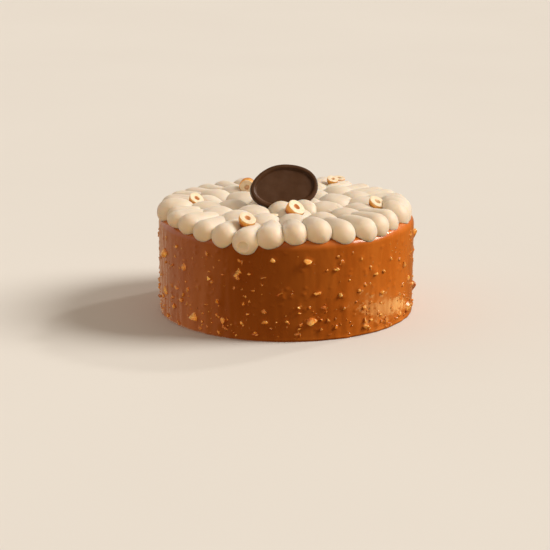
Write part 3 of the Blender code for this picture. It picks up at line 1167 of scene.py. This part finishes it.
    def bumps(self, spots: list[Point]) -> list[tuple[float, float, float, float]]:
        """List where the glaze swells over nuts and over the grains under it.

        Args:
            spots: (angle, height, radius) of the nuts.

        Returns:
            (angle, height, spread, rise) of each swelling.
        """
        made = [(*spot[:2], spot[2] * self.collar_spread, self.collar * spot[2]) for spot in spots]
        rng = random.Random(self.grain_seed)
        for _ in range(self.grains):
            size = rng.uniform(*self.grain_radius)
            angle = rng.uniform(-180.0, 180.0)
            level = rng.uniform(self.grain_lowest, self.height - self.edge_round)
            made.append((angle, level, size, self.grain_rise * size))
        return made

    def body(self, spots: list[Point]) -> Shape:
        """Shape the glazed body.

        Args:
            spots: (angle, height, radius) of the nuts in its wall.

        Returns:
            The closed body.
        """
        rows = [(radius, 0.0) for radius in self.base_rows]
        rows += [(self.foot_radius - self.foot_round, 0.0), (self.foot_radius, self.foot_round)]
        straight = self.height - self.edge_round
        for row in range(1, self.wall_rows + 1):
            share = row / self.wall_rows
            level = self.foot_round + (straight - self.foot_round) * share
            rows.append((self.foot_radius + (self.radius - self.foot_radius) * share, level))
        for row in range(1, self.round_rows + 1):
            turn = math.pi / 2 * row / self.round_rows
            across = self.radius - self.edge_round + self.edge_round * math.cos(turn)
            rows.append((across, straight + self.edge_round * math.sin(turn)))
        rows += [(radius, self.height) for radius in self.top_rows]
        shape = turned([(0.0, 0.0), *rows, (0.0, self.height)], self.segments)
        radius = np.hypot(shape.points[:, 0], shape.points[:, 1])
        wall = radius > self.radius - self.edge_round - self.wall_margin
        points = shape.points[wall]
        level = points[:, 2]
        fade = np.clip((self.height - level) / self.edge_round, self.top_fade, 1.0)
        rise = np.clip(level / self.foot_round, 0.0, 1.0)
        offset = self.wall_offset(points, spots) * fade
        offset *= np.where(level <= 0.0, 1.0, rise)
        outward = points[:, :2] / radius[wall][:, None]
        shape.points[wall, :2] += outward * offset[:, None]
        return shape

    def nuts(self, name: str, shapes: list[Shape], finish: Finish, levels: int) -> None:
        """Build one size of chopped nut as one piece.

        Args:
            name: the piece's name.
            shapes: the nuts.
            finish: their finish.
            levels: how often they are subdivided.
        """
        piece = Shape.joined(shapes).to_object(name, finish.build())
        subdivided(piece, levels, self.bit_crease)
        smooth(piece)
        place(piece, Slot.GLAZE, self.node)

    def build(self) -> None:
        """Build the glazed body and its nuts."""
        rng = random.Random(self.bit_seed)
        spots = self.bit_spots(rng)
        body = self.body(spots).to_object("glaze_coat", GLAZE.build())
        smooth(body, self.crease)
        place(body, Slot.GLAZE, self.node)
        self.nuts("chopped_nuts", self.bit_shapes(rng, spots, self.bit_swell), CHOPPED, 2)
        rng = random.Random(self.crumb_seed)
        spots = self.crumb_spots(rng)
        self.nuts("nut_crumbs", self.bit_shapes(rng, spots, 1.0), CRUMB, 1)


@dataclass(frozen=True)
class Dollop:
    """One piped dollop: a round head outward and a tapering tail behind it."""

    centre: np.ndarray
    angle: float
    reach: float
    tail: float
    half_width: float
    half_height: float
    drop: float = 0.0
    swing: float = 0.0
    fullness: float = 2.2
    taper: float = 0.72
    ragged: float = 0.0
    tooth: float = 3.6
    tooth_wander: float = 0.4
    torn_from: float = 0.2
    torn_length: float = 0.5

    def shape(self, around: int, steps: int, wave: Wave) -> Shape:
        """Shape the dollop.

        Args:
            around: points round its spine.
            steps: rings along its spine, plus one.
            wave: its unevenness.

        Returns:
            The closed shape.
        """
        outward, sideways = direction(self.angle)
        turn = 2 * math.pi * np.arange(around) / around
        rings = []
        for step in range(1, steps):
            along = math.cos(math.pi * step / steps)
            body, run, lower, shift = math.sqrt(1.0 - along * along), along * self.reach, 0.0, 0.0
            if along < 0.0:
                body = (1.0 - abs(along) ** self.fullness) ** self.taper
                run = along * self.tail
                lower = self.drop * along * along
                shift = self.swing * along * along
            spine = self.centre + outward * run + sideways * shift - np.array([0.0, 0.0, lower])
            ring = spine - np.outer(np.cos(turn), sideways) * self.half_width * body
            ring[:, 2] += np.sin(turn) * self.half_height * body
            rings.append(ring)
        start = self.centre + outward * self.reach
        end = self.centre - outward * self.tail + sideways * self.swing - np.array([0.0, 0.0, self.drop])
        made = capped(np.array(rings), start, end)
        away = made.points - self.centre
        away /= np.linalg.norm(away, axis=1)[:, None]
        made.points += away * wave.at(made.points)[:, None]
        if self.ragged:
            offset = made.points - self.centre
            wander = Wave(self.tooth * self.tooth_wander, (self.tooth * 2,) * 3, wave.seed)
            side = offset @ sideways + wander.at(made.points)
            teeth = np.abs(np.sin(math.pi * side / self.tooth))
            end = np.clip((offset @ outward / self.reach - self.torn_from) / self.torn_length, 0.0, 1.0)
            made.points += np.outer(self.ragged * teeth * end, outward)
        return made


@dataclass
class PipedCream:
    """All the piped cream, with room for what stands in it."""

    seed: int = 5
    core_radius: float = 91.0
    core_bottom: float = 76.0
    core_top: float = 80.0
    core_segments: int = 96
    heads: int = 33
    head_phase: float = -16.8
    head_pushes: tuple[Point, ...] = ((-38.0, 24.0, -1.2), (18.0, 8.0, 0.6), (36.0, 10.0, 2.4))
    head_lifts: tuple[Point, ...] = ((-61.0, 7.0, 2.8), (60.0, 6.0, -1.4))
    head_centre_radius: float = 90.0
    head_half_width: float = 9.9
    head_reach: float = 9.7
    head_tail: float = 29.0
    head_tail_tip: float = 83.4
    head_top: float = 88.6
    head_front_rise: float = 1.6
    head_right_rise: float = 1.4
    head_bottom: float = 71.2
    head_dips: tuple[Point, ...] = ((-112.0, 20.0, 0.8), (124.0, 20.0, 2.6))
    big_heads: tuple[tuple[float, ...], ...] = (
        # angle, half width, reach, tail, top and bottom
        (-81.0, 13.5, 13.0, 17.0, 91.2, 69.5),
        (84.0, 15.5, 14.0, 15.0, 92.8, 67.0),
        (79.0, 13.5, 13.9, 12.0, 92.8, 66.0),
        (74.0, 11.0, 13.6, 8.0, 91.6, 64.5),
    )
    small_heads: tuple[tuple[float, ...], ...] = (
        # the same, between a big head and its neighbours
        (-71.8, 8.0, 7.5, 22.0, 87.6, 73.0),
        (-95.5, 8.5, 8.5, 22.0, 87.6, 73.0),
        (97.3, 8.0, 8.5, 22.0, 88.2, 73.0),
    )
    big_head_radius: float = 86.5
    big_head_clearance: float = 3.6
    shift: Point = (-2.0, -2.4, 0.0)
    sag_spots: tuple[Point, ...] = SAG_SPOTS
    sag_top_share: float = 0.72
    sag_out_share: float = 0.3
    sag_width_share: float = 0.12
    rings: tuple[tuple[float, int, float, float, float, float], ...] = (
        # ring radius, dollops, first angle, half length, half width, top
        (61.0, 17, -13.3, 17.5, 13.2, 88.8),
        (39.0, 8, -35.0, 16.0, 15.5, 88.8),
        (17.0, 5, 12.0, 14.0, 12.5, 88.4),
    )
    ring_half_height: float = 9.6
    ring_tail_drop: float = 2.4
    ring_front_rise: float = 0.4
    torn_rings: tuple[int, ...] = (1, 2)
    torn_angles: tuple[float, float] = (48.0, 125.0)
    torn_lift: float = 1.4
    ragged: float = 2.0
    mounds: tuple[tuple[float, float, float, float, float], ...] = (
        # angle, distance from the middle, half length, half width, top
        (0.0, 0.0, 10.5, 10.5, 87.5),
        (-8.0, 29.5, 12.5, 11.0, 91.4),
        (26.0, 31.0, 14.0, 10.6, 92.2),
    )
    head_angle_jitter: float = 0.4
    ring_angle_jitter: float = 1.2
    radius_jitter: float = 0.7
    height_jitter: float = 0.6
    size_jitter: float = 0.045
    tail_swing: float = 1.6
    head_mesh: tuple[int, int] = (48, 34)
    ring_mesh: tuple[int, int] = (40, 30)
    wave: Wave = Wave(0.32, (7.5, 7.5, 7.5))
    wave_step: float = 0.7
    dimple_head: int = 0
    dimple_mesh: tuple[int, int] = (32, 16)
    dimple_radius: float = 6.6
    dimple_depth: float = 2.8
    dimple_drop: float = 2.5
    crease: float = 30.0

    def outer_heads(self, rng: random.Random) -> list[Dollop]:
        """Lay the heads that ring the top and hang over its edge.

        Args:
            rng: the seeded draws.

        Returns:
            The heads.
        """
        made: list[Dollop] = []
        for index in range(self.heads):
            even = self.head_phase + 360.0 * index / self.heads
            angle = even + rng.uniform(-self.head_angle_jitter, self.head_angle_jitter)
            angle += hollow_at(even, self.head_pushes)
            sag = hollow_at(angle, self.sag_spots)
            turn = math.radians(angle)
            top = self.head_top + self.head_front_rise * math.cos(turn)
            top += self.head_right_rise * math.sin(turn)
            top += rng.uniform(-self.height_jitter, self.height_jitter) - self.sag_top_share * sag
            top -= hollow_at(angle, self.head_dips)
            bottom = self.head_bottom - sag + rng.uniform(-self.height_jitter, self.height_jitter)
            bottom += hollow_at(angle, self.head_lifts)
            radius = self.head_centre_radius + self.sag_out_share * sag
            radius += rng.uniform(-self.radius_jitter, self.radius_jitter)
            size = 1.0 + rng.uniform(-self.size_jitter, self.size_jitter)
            centre = place_at(angle, radius, (top + bottom) / 2)
            swing = rng.uniform(-self.tail_swing, self.tail_swing)
            if self.beside_big_head(angle):
                continue
            made.append(
                Dollop(
                    centre + np.array(self.shift),
                    angle,
                    self.head_reach * size,
                    self.head_tail,
                    self.head_half_width * size + self.sag_width_share * sag,
                    (top - bottom) / 2,
                    (top + bottom) / 2 - self.head_tail_tip,
                    swing,
                )
            )
        return made

    def beside_big_head(self, angle: float) -> bool:
        """Tell whether a big head takes the place of the one at this angle.

        Args:
            angle: the angle in degrees.

        Returns:
            True where a big head stands.
        """
        for middle, half_width, *_ in self.big_heads:
            reach = math.degrees(half_width / self.big_head_radius) + self.big_head_clearance
            if abs(turn_from(middle, angle)) < reach:
                return True
        return False

    def large_heads(self) -> list[Dollop]:
        """Lay the large dollops at the left and right of the top, and the small ones beside them.

        Returns:
            The dollops.
        """
        made: list[Dollop] = []
        for angle, half_width, reach, tail, top, bottom in self.big_heads + self.small_heads:
            middle = (top + bottom) / 2
            centre = place_at(angle, self.big_head_radius, middle)
            drop = middle - self.head_tail_tip
            made.append(
                Dollop(centre + np.array(self.shift), angle, reach, tail, half_width, top - middle, drop)
            )
        return made

    def inner_ring(self, ring: int, rng: random.Random) -> list[Dollop]:
        """Lay one inner ring of dollops.

        Args:
            ring: its row in rings.
            rng: the seeded draws.

        Returns:
            The dollops.
        """
        ring_radius, count, phase, half_length, half_width, top = self.rings[ring]
        made: list[Dollop] = []
        for index in range(count):
            angle = phase + 360.0 * index / count
            angle += rng.uniform(-self.ring_angle_jitter, self.ring_angle_jitter)
            height = top + self.ring_front_rise * math.cos(math.radians(angle))
            height += rng.uniform(-self.height_jitter, self.height_jitter)
            torn = ring in self.torn_rings and self.torn_angles[0] < angle < self.torn_angles[1]
            height += self.torn_lift if torn else 0.0
            size = 1.0 + rng.uniform(-self.size_jitter, self.size_jitter)
            radius = ring_radius + rng.uniform(-self.radius_jitter, self.radius_jitter)
            swing = rng.uniform(-self.tail_swing, self.tail_swing)
            centre = place_at(angle, radius, height - self.ring_half_height)
            made.append(
                Dollop(
                    centre + np.array(self.shift),
                    angle,
                    half_length * size,
                    half_length,
                    half_width * size,
                    self.ring_half_height,
                    self.ring_tail_drop,
                    swing,
                    ragged=self.ragged if torn else 0.0,
                )
            )
        return made

    def middle(self) -> list[Dollop]:
        """Lay the dollop in the middle and those against the plaque's foot.

        Returns:
            The dollops.
        """
        made: list[Dollop] = []
        for angle, distance, half_length, half_width, top in self.mounds:
            centre = place_at(angle, distance, top - self.ring_half_height)
            made.append(Dollop(centre, angle, half_length, half_length, half_width, self.ring_half_height))
        return made

    def dimple(self, head: Dollop) -> Shape:
        """Shape the ball that presses a dimple into a head.

        Args:
            head: the head.

        Returns:
            The ball.
        """
        around, steps = self.dimple_mesh
        profile = []
        for step in range(steps + 1):
            turn = math.pi * step / steps
            profile.append((self.dimple_radius * math.sin(turn), -self.dimple_radius * math.cos(turn)))
        ball = turned(profile, around)
        outward = direction(head.angle)[0]
        ball.points += head.centre + outward * (head.reach + self.dimple_radius - self.dimple_depth)
        ball.points[:, 2] -= self.dimple_drop
        return ball

    def build(self, cutters: list[Shape]) -> None:
        """Build the cream as one piece.

        Args:
            cutters: shapes that it makes room for.
        """
        rng = random.Random(self.seed)
        outline = [
            (0.0, self.core_bottom),
            (self.core_radius, self.core_bottom),
            (self.core_radius, self.core_top),
            (0.0, self.core_top),
        ]
        cream = turned(outline, self.core_segments, 0.5).to_object("piped_swirls", CREAM.build())
        heads = self.outer_heads(rng) + self.large_heads()
        others = [dollop for ring in range(len(self.rings)) for dollop in self.inner_ring(ring, rng)]
        others += self.middle()
        dollops = bpy.data.collections.new("dollops")
        for index, dollop in enumerate(heads + others):
            mesh = self.head_mesh if index < len(heads) else self.ring_mesh
            shape = dollop.shape(*mesh, replace(self.wave, seed=self.wave_step * index))
            shape.to_object(f"dollop_{index}", None, dollops)
        boolean(cream, Operation.JOIN, dollops)
        room = bpy.data.collections.new("room")
        for index, shape in enumerate([*cutters, self.dimple(heads[self.dimple_head])]):
            shape.to_object(f"room_{index}", None, room)
        boolean(cream, Operation.CUT, room)
        keep_largest(cream)
        smooth(cream, self.crease)
        place(cream, Slot.CREAM, "piped_cream")


@dataclass
class ChocolatePlaque:
    """The oval plaque with a raised rim that leans back in the cream."""

    width: float = 54.0
    height: float = 37.2
    thickness: float = 3.4
    rim_rise: float = 2.0
    rim_width: float = 3.2
    rim_step: float = 1.2
    edge: float = 0.7
    centre: Point = (-1.8, -12.0, 98.4)
    lean: float = 35.0
    yaw: float = 15.0
    spin: float = 8.0
    waves: tuple[Point, ...] = ((2, 0.35, 0.4), (3, 0.3, 2.1), (5, 0.18, 4.0))
    segments: int = 128
    room_segments: int = 48
    fine_margin: float = 3.0
    ease: float = 0.45
    ease_share: float = 0.45
    ease_steps: tuple[float, ...] = (0.0, 0.35, 0.65, 1.0)
    field_rows: tuple[float, ...] = (0.96, 0.9, 0.82, 0.74, 0.66, 0.58, 0.5, 0.42, 0.34, 0.26, 0.18, 0.1)
    unevenness: Wave = Wave(0.22, (9.0, 9.0, 9.0), 2.3)

    def axes(self) -> tuple[np.ndarray, np.ndarray, np.ndarray]:
        """Find the plaque's directions.

        Returns:
            Its across, up and facing unit vectors.
        """
        lean, yaw, spin = (math.radians(angle) for angle in (self.lean, self.yaw, self.spin))
        across = np.array([math.cos(yaw), math.sin(yaw), 0.0])
        back = np.array([-math.sin(yaw), math.cos(yaw), 0.0])
        upward = back * math.sin(lean) + np.array([0.0, 0.0, math.cos(lean)])
        facing = np.cross(across, upward)
        return (
            across * math.cos(spin) + upward * math.sin(spin),
            upward * math.cos(spin) - across * math.sin(spin),
            facing,
        )

    def room(self) -> Shape:
        """Shape the room that it needs in the cream."""
        return self.shape(GAP, self.room_segments)

    def shape(self, grow: float, segments: int, fine: bool = False) -> Shape:
        """Shape the plaque, or the room that it needs.

        Args:
            grow: how far it is pushed out.
            segments: points round it.
            fine: whether it gets the extra rows of the shown piece.

        Returns:
            The closed shape.
        """
        across, upward, facing = self.axes()
        half = self.thickness / 2
        rim = half + self.rim_rise
        inner = self.rim_width + grow
        edge = self.edge
        sections = [
            (edge - grow, -half - grow),
            (-grow, -half + edge),
            (-grow, rim - edge),
            (edge - grow, rim + grow),
            (inner - edge, rim + grow),
            (inner, rim - edge / 2 + grow),
            (inner + self.rim_step, half + grow),
        ]
        if fine:
            first = (self.fine_margin * edge, -half)
            last = (inner + self.fine_margin * self.rim_step, half)
            sections = self.eased([first, *sections, last])
        turn = 2 * math.pi * np.arange(segments) / segments
        wave = sum(depth * np.cos(count * turn + phase) for count, depth, phase in self.waves)
        rings = []
        for inset, level in sections:
            wide = (self.width / 2 - inset + wave) * np.cos(turn)
            high = (self.height / 2 - inset + wave) * np.sin(turn)
            rings.append(np.outer(wide, across) + np.outer(high, upward) + facing * level)
        if fine:
            flat = rings[-1] - facing * half
            rings += [flat * share + facing * half for share in self.field_rows]
        rings = np.array(rings) + np.array(self.centre)
        middle = np.array(self.centre)
        return capped(rings, middle - facing * (half + grow), middle + facing * (half + grow))

    def eased(self, outline: list[tuple[float, float]]) -> list[tuple[float, float]]:
        """Round the corners of an outline a little.

        Args:
            outline: its (inset, level) corners.

        Returns:
            The finer outline.
        """
        finer = [outline[0]]
        corners = [np.array(corner) for corner in outline]
        for before, corner, after in zip(corners, corners[1:], corners[2:]):
            start, end = (
                corner + (other - corner) * min(self.ease_share, self.ease / np.linalg.norm(other - corner))
                for other in (before, after)
            )
            for share in self.ease_steps:
                bend = (1 - share) ** 2 * start + 2 * share * (1 - share) * corner + share**2 * end
                finer.append(tuple(bend))
        return [*finer, outline[-1]]

    def build(self) -> None:
        """Build the shown plaque."""
        shape = self.shape(0.0, self.segments, True)
        plaque = shape.to_object("plaque", CHOCOLATE.build())
        subdivided(plaque, 1)
        points = np.array([vertex.co for vertex in plaque.data.vertices]) / MM
        facing = self.axes()[2]
        points += np.outer(self.unevenness.at(points), facing)
        plaque.data.vertices.foreach_set("co", (points * MM).ravel())
        smooth(plaque)
        place(plaque, Slot.CHOCOLATE, "chocolate_plaque")


@dataclass
class HazelnutHalf:
    """A cut hazelnut, its cut face up.

    Its face leans towards side, over is how far the cut lies past its middle, in degrees, and toast
    is how dark its hollow is.
    """

    number: int
    centre: Point
    width: float
    dome: float
    lean: float
    side: float
    over: float = 0.0
    toast: float = 0.9
    skin_from: float = 0.12
    skin_spread: float = 0.8
    bare_face: float = -0.3
    lip_rise: float = 0.05
    face_rows: tuple[tuple[float, float], ...] = (
        # shares of the radius and of the lip's rise
        (0.985, 0.7),
        (0.93, 1.0),
        (0.75, 0.8),
        (0.55, 0.8),
    )
    hollow: float = 0.36
    hollow_edge: tuple[float, float] = (1.1, 0.7)
    hollow_reach: float = 1.08
    hollow_floor: float = 0.24
    hollow_depth: float = 2.0
    hollow_rows: tuple[tuple[float, float], ...] = (
        # how far from the floor's width to the hollow's, and the share of the depth
        (1.0, 0.15),
        (0.5, 0.65),
        (0.0, 0.95),
    )
    sink: float = 0.45
    segments: int = 40
    dome_rows: int = 12
    room_mesh: tuple[int, int] = (24, 8)
    lump: float = 0.05
    lump_size: float = 0.8
    lump_step: float = 1.7
    outline_wave: float = 0.035
    outline_third: float = 0.5
    hollow_wave: float = 0.16
    hollow_third: float = 0.6
    hollow_margin: float = 0.01
    crease: float = 50.0

    def placed(self, shape: Shape) -> Shape:
        """Set a shape that stands on its axis into the nut's own place.

        Args:
            shape: the shape about the origin, its cut face up.

        Returns:
            The same shape in place.
        """
        outward, sideways = direction(self.side)
        tilt = math.radians(self.lean)
        facing = outward * math.sin(tilt) + np.array([0.0, 0.0, math.cos(tilt)])
        rise = np.cross(facing, sideways)
        middle = np.array(self.centre) + facing * (self.dome * self.sink)
        shape.points = middle + shape.points @ np.array([sideways, rise, facing])
        return shape

    def room(self) -> Shape:
        """Shape the room that it needs in the cream.

        Returns:
            The closed shape.
        """
        around, rows = self.room_mesh
        profile = self.back(GAP, rows)
        level = self.dome * self.lip_rise + GAP
        return self.placed(turned([*profile, (profile[-1][0], level), (0.0, level)], around))

    def back(self, grow: float, rows: int) -> list[tuple[float, float]]:
        """Give the half outline of the nut's round back.

        Args:
            grow: how far it is pushed out.
            rows: how many steps it has.

        Returns:
            (radius, height) pairs from its pole to the edge of the cut face.
        """
        past = math.radians(self.over)
        radius = self.width / 2 + grow
        depth = self.dome + grow
        profile = []
        for step in range(rows + 1):
            turn = (math.pi / 2 + past) * step / rows
            profile.append((radius * math.sin(turn), -depth * (math.cos(turn) + math.sin(past))))
        return profile

    def outline(self) -> list[tuple[float, float]]:
        """Give the half outline of the shown nut.

        Returns:
            (radius, height) pairs from the pole of its back to the middle of its hollow.
        """
        profile = self.back(0.0, self.dome_rows)
        radius = profile[-1][0]
        level = self.dome * self.lip_rise
        hollow = radius * self.hollow
        floor = radius * self.hollow_floor
        profile += [(radius * share, level * rise) for share, rise in self.face_rows]
        profile.append((hollow * self.hollow_edge[0], level * self.hollow_edge[1]))
        for share, depth in self.hollow_rows:
            profile.append((floor + (hollow - floor) * share, -depth * self.hollow_depth))
        return [*profile, (0.0, -self.hollow_depth)]

    def build(self, finish: bpy.types.Material) -> None:
        """Build the shown nut.

        Args:
            finish: its material.
        """
        profile = self.outline()
        radius = profile[self.dome_rows][0]
        shape = turned(profile, self.segments)
        across = np.hypot(shape.points[:, 0], shape.points[:, 1])
        height = shape.points[:, 2]
        skin = np.clip(self.skin_from - height / (self.skin_spread * self.dome), 0.0, 1.0)
        inside = across < radius * self.hollow * self.hollow_reach
        inside &= height > -self.hollow_depth - self.hollow_margin
        turn = np.arctan2(shape.points[:, 1], shape.points[:, 0]) + self.number
        outer = self.outline_wave * (np.cos(2 * turn) + self.outline_third * np.cos(3 * turn + 1.0))
        inner = self.hollow_wave * (np.cos(2 * turn) + self.hollow_third * np.cos(3 * turn))
        uneven = np.where(inside, inner, outer)
        face = np.arange(len(shape.points)) > self.segments * self.dome_rows
        shape.masks[Mask.SKIN] = np.where(face, self.bare_face, skin)
        shape.masks[Mask.HOLLOW] = np.where(inside, self.toast, 0.0)
        lumps = Wave(self.lump, (radius * self.lump_size,) * 3, self.lump_step * self.number)
        shape.points *= (1.0 + lumps.at(shape.points))[:, None]
        shape.points[:, :2] *= (1.0 + uneven)[:, None]
        nut = self.placed(shape).to_object(f"hazelnut_half_{self.number}", finish)
        smooth(nut, self.crease)
        place(nut, Slot.HAZELNUT, f"hazelnut_{self.number}")


@dataclass
class HazelnutChip:
    """The small broken piece of hazelnut on the cream."""

    centre: Point = (-9.4, -57.0, 86.6)
    size: Point = (4.0, 2.6, 2.4)
    corners: int = 14
    seed: int = 3
    toast: float = 0.6
    crease: float = 40.0

    def room(self) -> Shape:
        """Shape the room that it needs in the cream."""
        return self.shape(GAP)

    def shape(self, grow: float = 0.0) -> Shape:
        """Shape the chip, or the room that it needs.

        Args:
            grow: how far it is pushed out.

        Returns:
            The convex shape.
        """
        rng = random.Random(self.seed)
        middle = np.array(self.centre)
        reach = np.array(self.size) + grow
        return hull([tuple(middle + reach * np.array(on_ball(rng))) for _ in range(self.corners)])

    def build(self, finish: bpy.types.Material) -> None:
        """Build the shown chip.

        Args:
            finish: its material.
        """
        shape = self.shape()
        below = self.centre[2] - shape.points[:, 2]
        shape.masks[Mask.SKIN] = np.clip(below / self.size[2], 0.0, 1.0) * self.toast
        shape.masks[Mask.HOLLOW] = np.zeros(len(shape.points))
        chip = shape.to_object("nut_chip", finish)
        subdivided(chip, 1)
        smooth(chip, self.crease)
        place(chip, Slot.HAZELNUT, "hazelnut_chip")


@dataclass(frozen=True)
class Sun:
    """One far soft light: where it is, as an angle round the cake and a height, and how wide it looks."""

    name: str
    way: tuple[float, float]
    strength: float
    angle: float
    colour: Colour
    passes_by: tuple[str, ...] = ()


@dataclass
class Studio:
    """The floor, the lights and the camera."""

    image_size: float = 550.0
    focal_pixels: float = 1750.0
    sensor: float = 36.0
    camera_place: Point = (-8.7634, -1342.0426, 378.4951)
    camera_pitch: float = 14.7387
    nearest: float = 0.01
    floor_half: float = 9000.0
    suns: tuple[Sun, ...] = (
        Sun("key", (91.0, 36.0), 3.3, 28.0, (1.0, 0.93, 0.84)),
        Sun("glint", (128.0, 36.0), 0.5, 5.0, (1.0, 0.93, 0.84)),
        Sun("fill", (-4.0, -12.0), 2.9, 100.0, (1.0, 0.68, 0.38), ("glaze_coat", "floor", "plaque")),
    )
    foot_place: Point = (113.5, -65.5, 5.5)
    foot_target: Point = (76.0, -63.5, 10.0)
    foot_size: tuple[float, float] = (96.0, 12.0)
    foot_power: float = 0.009
    foot_colour: Colour = (1.0, 0.86, 0.34)
    foot_reaches: tuple[str, ...] = ("glaze_coat", "chopped_nuts", "nut_crumbs")
    room_dark: Colour = (0.12, 0.10, 0.08)
    room_pale: Colour = (0.72, 0.65, 0.58)
    room_high: Colour = (0.50, 0.39, 0.28)
    below_dark: Colour = (0.20, 0.12, 0.045)
    below_pale: Colour = (0.66, 0.46, 0.30)
    horizon: tuple[float, float] = (-0.12, 0.12)
    ceiling: tuple[float, float] = (0.35, 1.0)
    room_towards: tuple[float, float] = (-128.0, 8.0)
    room_edge: tuple[float, float] = (0.1, 0.75)

    def hang(self, name: str, data: bpy.types.ID) -> bpy.types.Object:
        """Put a light or the camera into the scene.

        Args:
            name: the object's name.
            data: the light or camera.

        Returns:
            The new object.
        """
        made = bpy.data.objects.new(name, data)
        bpy.context.scene.collection.objects.link(made)
        return made

    def camera(self) -> None:
        """Set the camera where the picture was taken from."""
        data = bpy.data.cameras.new("camera")
        data.sensor_width = self.sensor
        data.lens = self.sensor * self.focal_pixels / self.image_size
        data.clip_start = self.nearest
        made = self.hang("camera", data)
        pitch = math.radians(self.camera_pitch)
        upward = Vector((0.0, math.sin(pitch), math.cos(pitch)))
        forward = Vector((0.0, math.cos(pitch), -math.sin(pitch)))
        matrix = Matrix((Vector((1.0, 0.0, 0.0)), upward, -forward)).transposed().to_4x4()
        matrix.translation = Vector(self.camera_place) * MM
        made.matrix_world = matrix
        bpy.context.scene.camera = made

    def floor(self) -> None:
        """Lay the pale floor."""
        half = self.floor_half
        corners = np.array([(-half, -half, 0.0), (half, -half, 0.0), (half, half, 0.0), (-half, half, 0.0)])
        floor = Shape(corners, [(0, 1, 2, 3)]).to_object("floor", FLOOR.build())
        floor.visible_diffuse = False
        floor.visible_glossy = False

    def towards(self, way: tuple[float, float]) -> Vector:
        """Turn an angle round the cake and a height into a direction.

        Args:
            way: the two angles.

        Returns:
            The unit vector towards it.
        """
        turn, height = (math.radians(angle) for angle in way)
        flat = math.cos(height)
        return Vector((math.sin(turn) * flat, -math.cos(turn) * flat, math.sin(height)))

    def reach(self, light: bpy.types.Object, names: Iterable[str]) -> None:
        """Let a light reach only some pieces.

        Args:
            light: the light.
            names: the pieces' names.
        """
        reached = bpy.data.collections.new(f"reached_by_{light.name}")
        for name in names:
            reached.objects.link(bpy.data.objects[name])
        light.light_linking.receiver_collection = reached

    def far_light(self, sun: Sun) -> None:
        """Hang one far soft light.

        Args:
            sun: the light.
        """
        data = bpy.data.lights.new(sun.name, "SUN")
        data.energy = sun.strength
        data.angle = math.radians(sun.angle)
        data.color = sun.colour
        made = self.hang(sun.name, data)
        made.rotation_euler = (-self.towards(sun.way)).to_track_quat("-Z", "Y").to_euler()
        if sun.passes_by:
            meshes = [piece.name for piece in bpy.context.scene.objects if piece.type == "MESH"]
            self.reach(made, [name for name in meshes if name not in sun.passes_by])

    def foot_light(self) -> None:
        """Hang the warm light that shines on the foot of the wall from the right."""
        data = bpy.data.lights.new("foot", "AREA")
        data.shape = "ELLIPSE"
        data.size, data.size_y = (side * MM for side in self.foot_size)
        data.energy = self.foot_power
        data.color = self.foot_colour
        made = self.hang("foot", data)
        made.location = Vector(self.foot_place) * MM
        along = Vector(self.foot_target) - Vector(self.foot_place)
        made.rotation_euler = along.to_track_quat("-Z", "Y").to_euler()
        made.visible_camera = False
        made.visible_diffuse = False
        self.reach(made, self.foot_reaches)

    def room(self) -> None:
        """Give the room its own soft light, paler at one side and warmer below."""
        world = bpy.data.worlds.new("room")
        bpy.context.scene.world = world
        world.use_nodes = True
        graph = Graph(world.node_tree)
        where = graph.add("ShaderNodeTexCoord").outputs["Generated"]
        along = graph.add(
            "ShaderNodeVectorMath",
            {0: where, 1: tuple(self.towards(self.room_towards))},
            operation="DOT_PRODUCT",
        )
        share = graph.ranged(along.outputs["Value"], *self.room_edge)
        level = graph.add("ShaderNodeSeparateXYZ", {"Vector": where}).outputs["Z"]
        lower = graph.mix(share, self.below_dark, self.below_pale)
        upper = graph.mix(share, self.room_dark, self.room_pale)
        upper = graph.mix(graph.ranged(level, *self.ceiling), upper, self.room_high)
        back = world.node_tree.nodes["Background"]
        graph.set(back, "Color", graph.mix(graph.ranged(level, *self.horizon), lower, upper))

    def build(self) -> None:
        """Set up the whole studio."""
        self.camera()
        self.floor()
        for sun in self.suns:
            self.far_light(sun)
        self.foot_light()
        self.room()
        bpy.context.scene.view_settings.view_transform = "Standard"


HAZELNUTS = (
    HazelnutHalf(1, (-71.2, -5.5, 86.6), 11.4, 7.6, 40.0, 45.0, toast=0.7),
    HazelnutHalf(2, (-30.2, -76.5, 86.2), 13.4, 8.4, 28.0, 40.0, toast=0.65),
    HazelnutHalf(3, (5.6, -46.0, 88.4), 14.6, 8.4, 41.0, 54.0, 12.0, toast=0.85),
    HazelnutHalf(4, (68.9, -20.8, 86.9), 12.4, 8.0, 34.0, 46.0, toast=0.4),
    HazelnutHalf(5, (-31.0, 40.0, 88.9), 13.4, 5.8, 95.0, -8.0, 32.0, toast=0.5),
    HazelnutHalf(6, (37.8, 66.0, 87.2), 9.4, 6.4, 24.0, 40.0, toast=0.3),
    HazelnutHalf(7, (44.0, 75.5, 86.2), 9.4, 5.6, 12.0, 20.0, toast=0.3),
)


def main() -> None:
    """Build every piece and the studio."""
    logging.basicConfig(level=logging.INFO, format="%(message)s")
    cake = GlazedCake()
    cream = PipedCream()
    plaque = ChocolatePlaque()
    chip = HazelnutChip()
    cake.build()
    cream.build([piece.room() for piece in (cake, plaque, chip, *HAZELNUTS)])
    plaque.build()
    finish = HAZELNUT.build()
    for nut in HAZELNUTS:
        nut.build(finish)
    chip.build(finish)
    Studio().build()


if __name__ == "__main__":
    main()
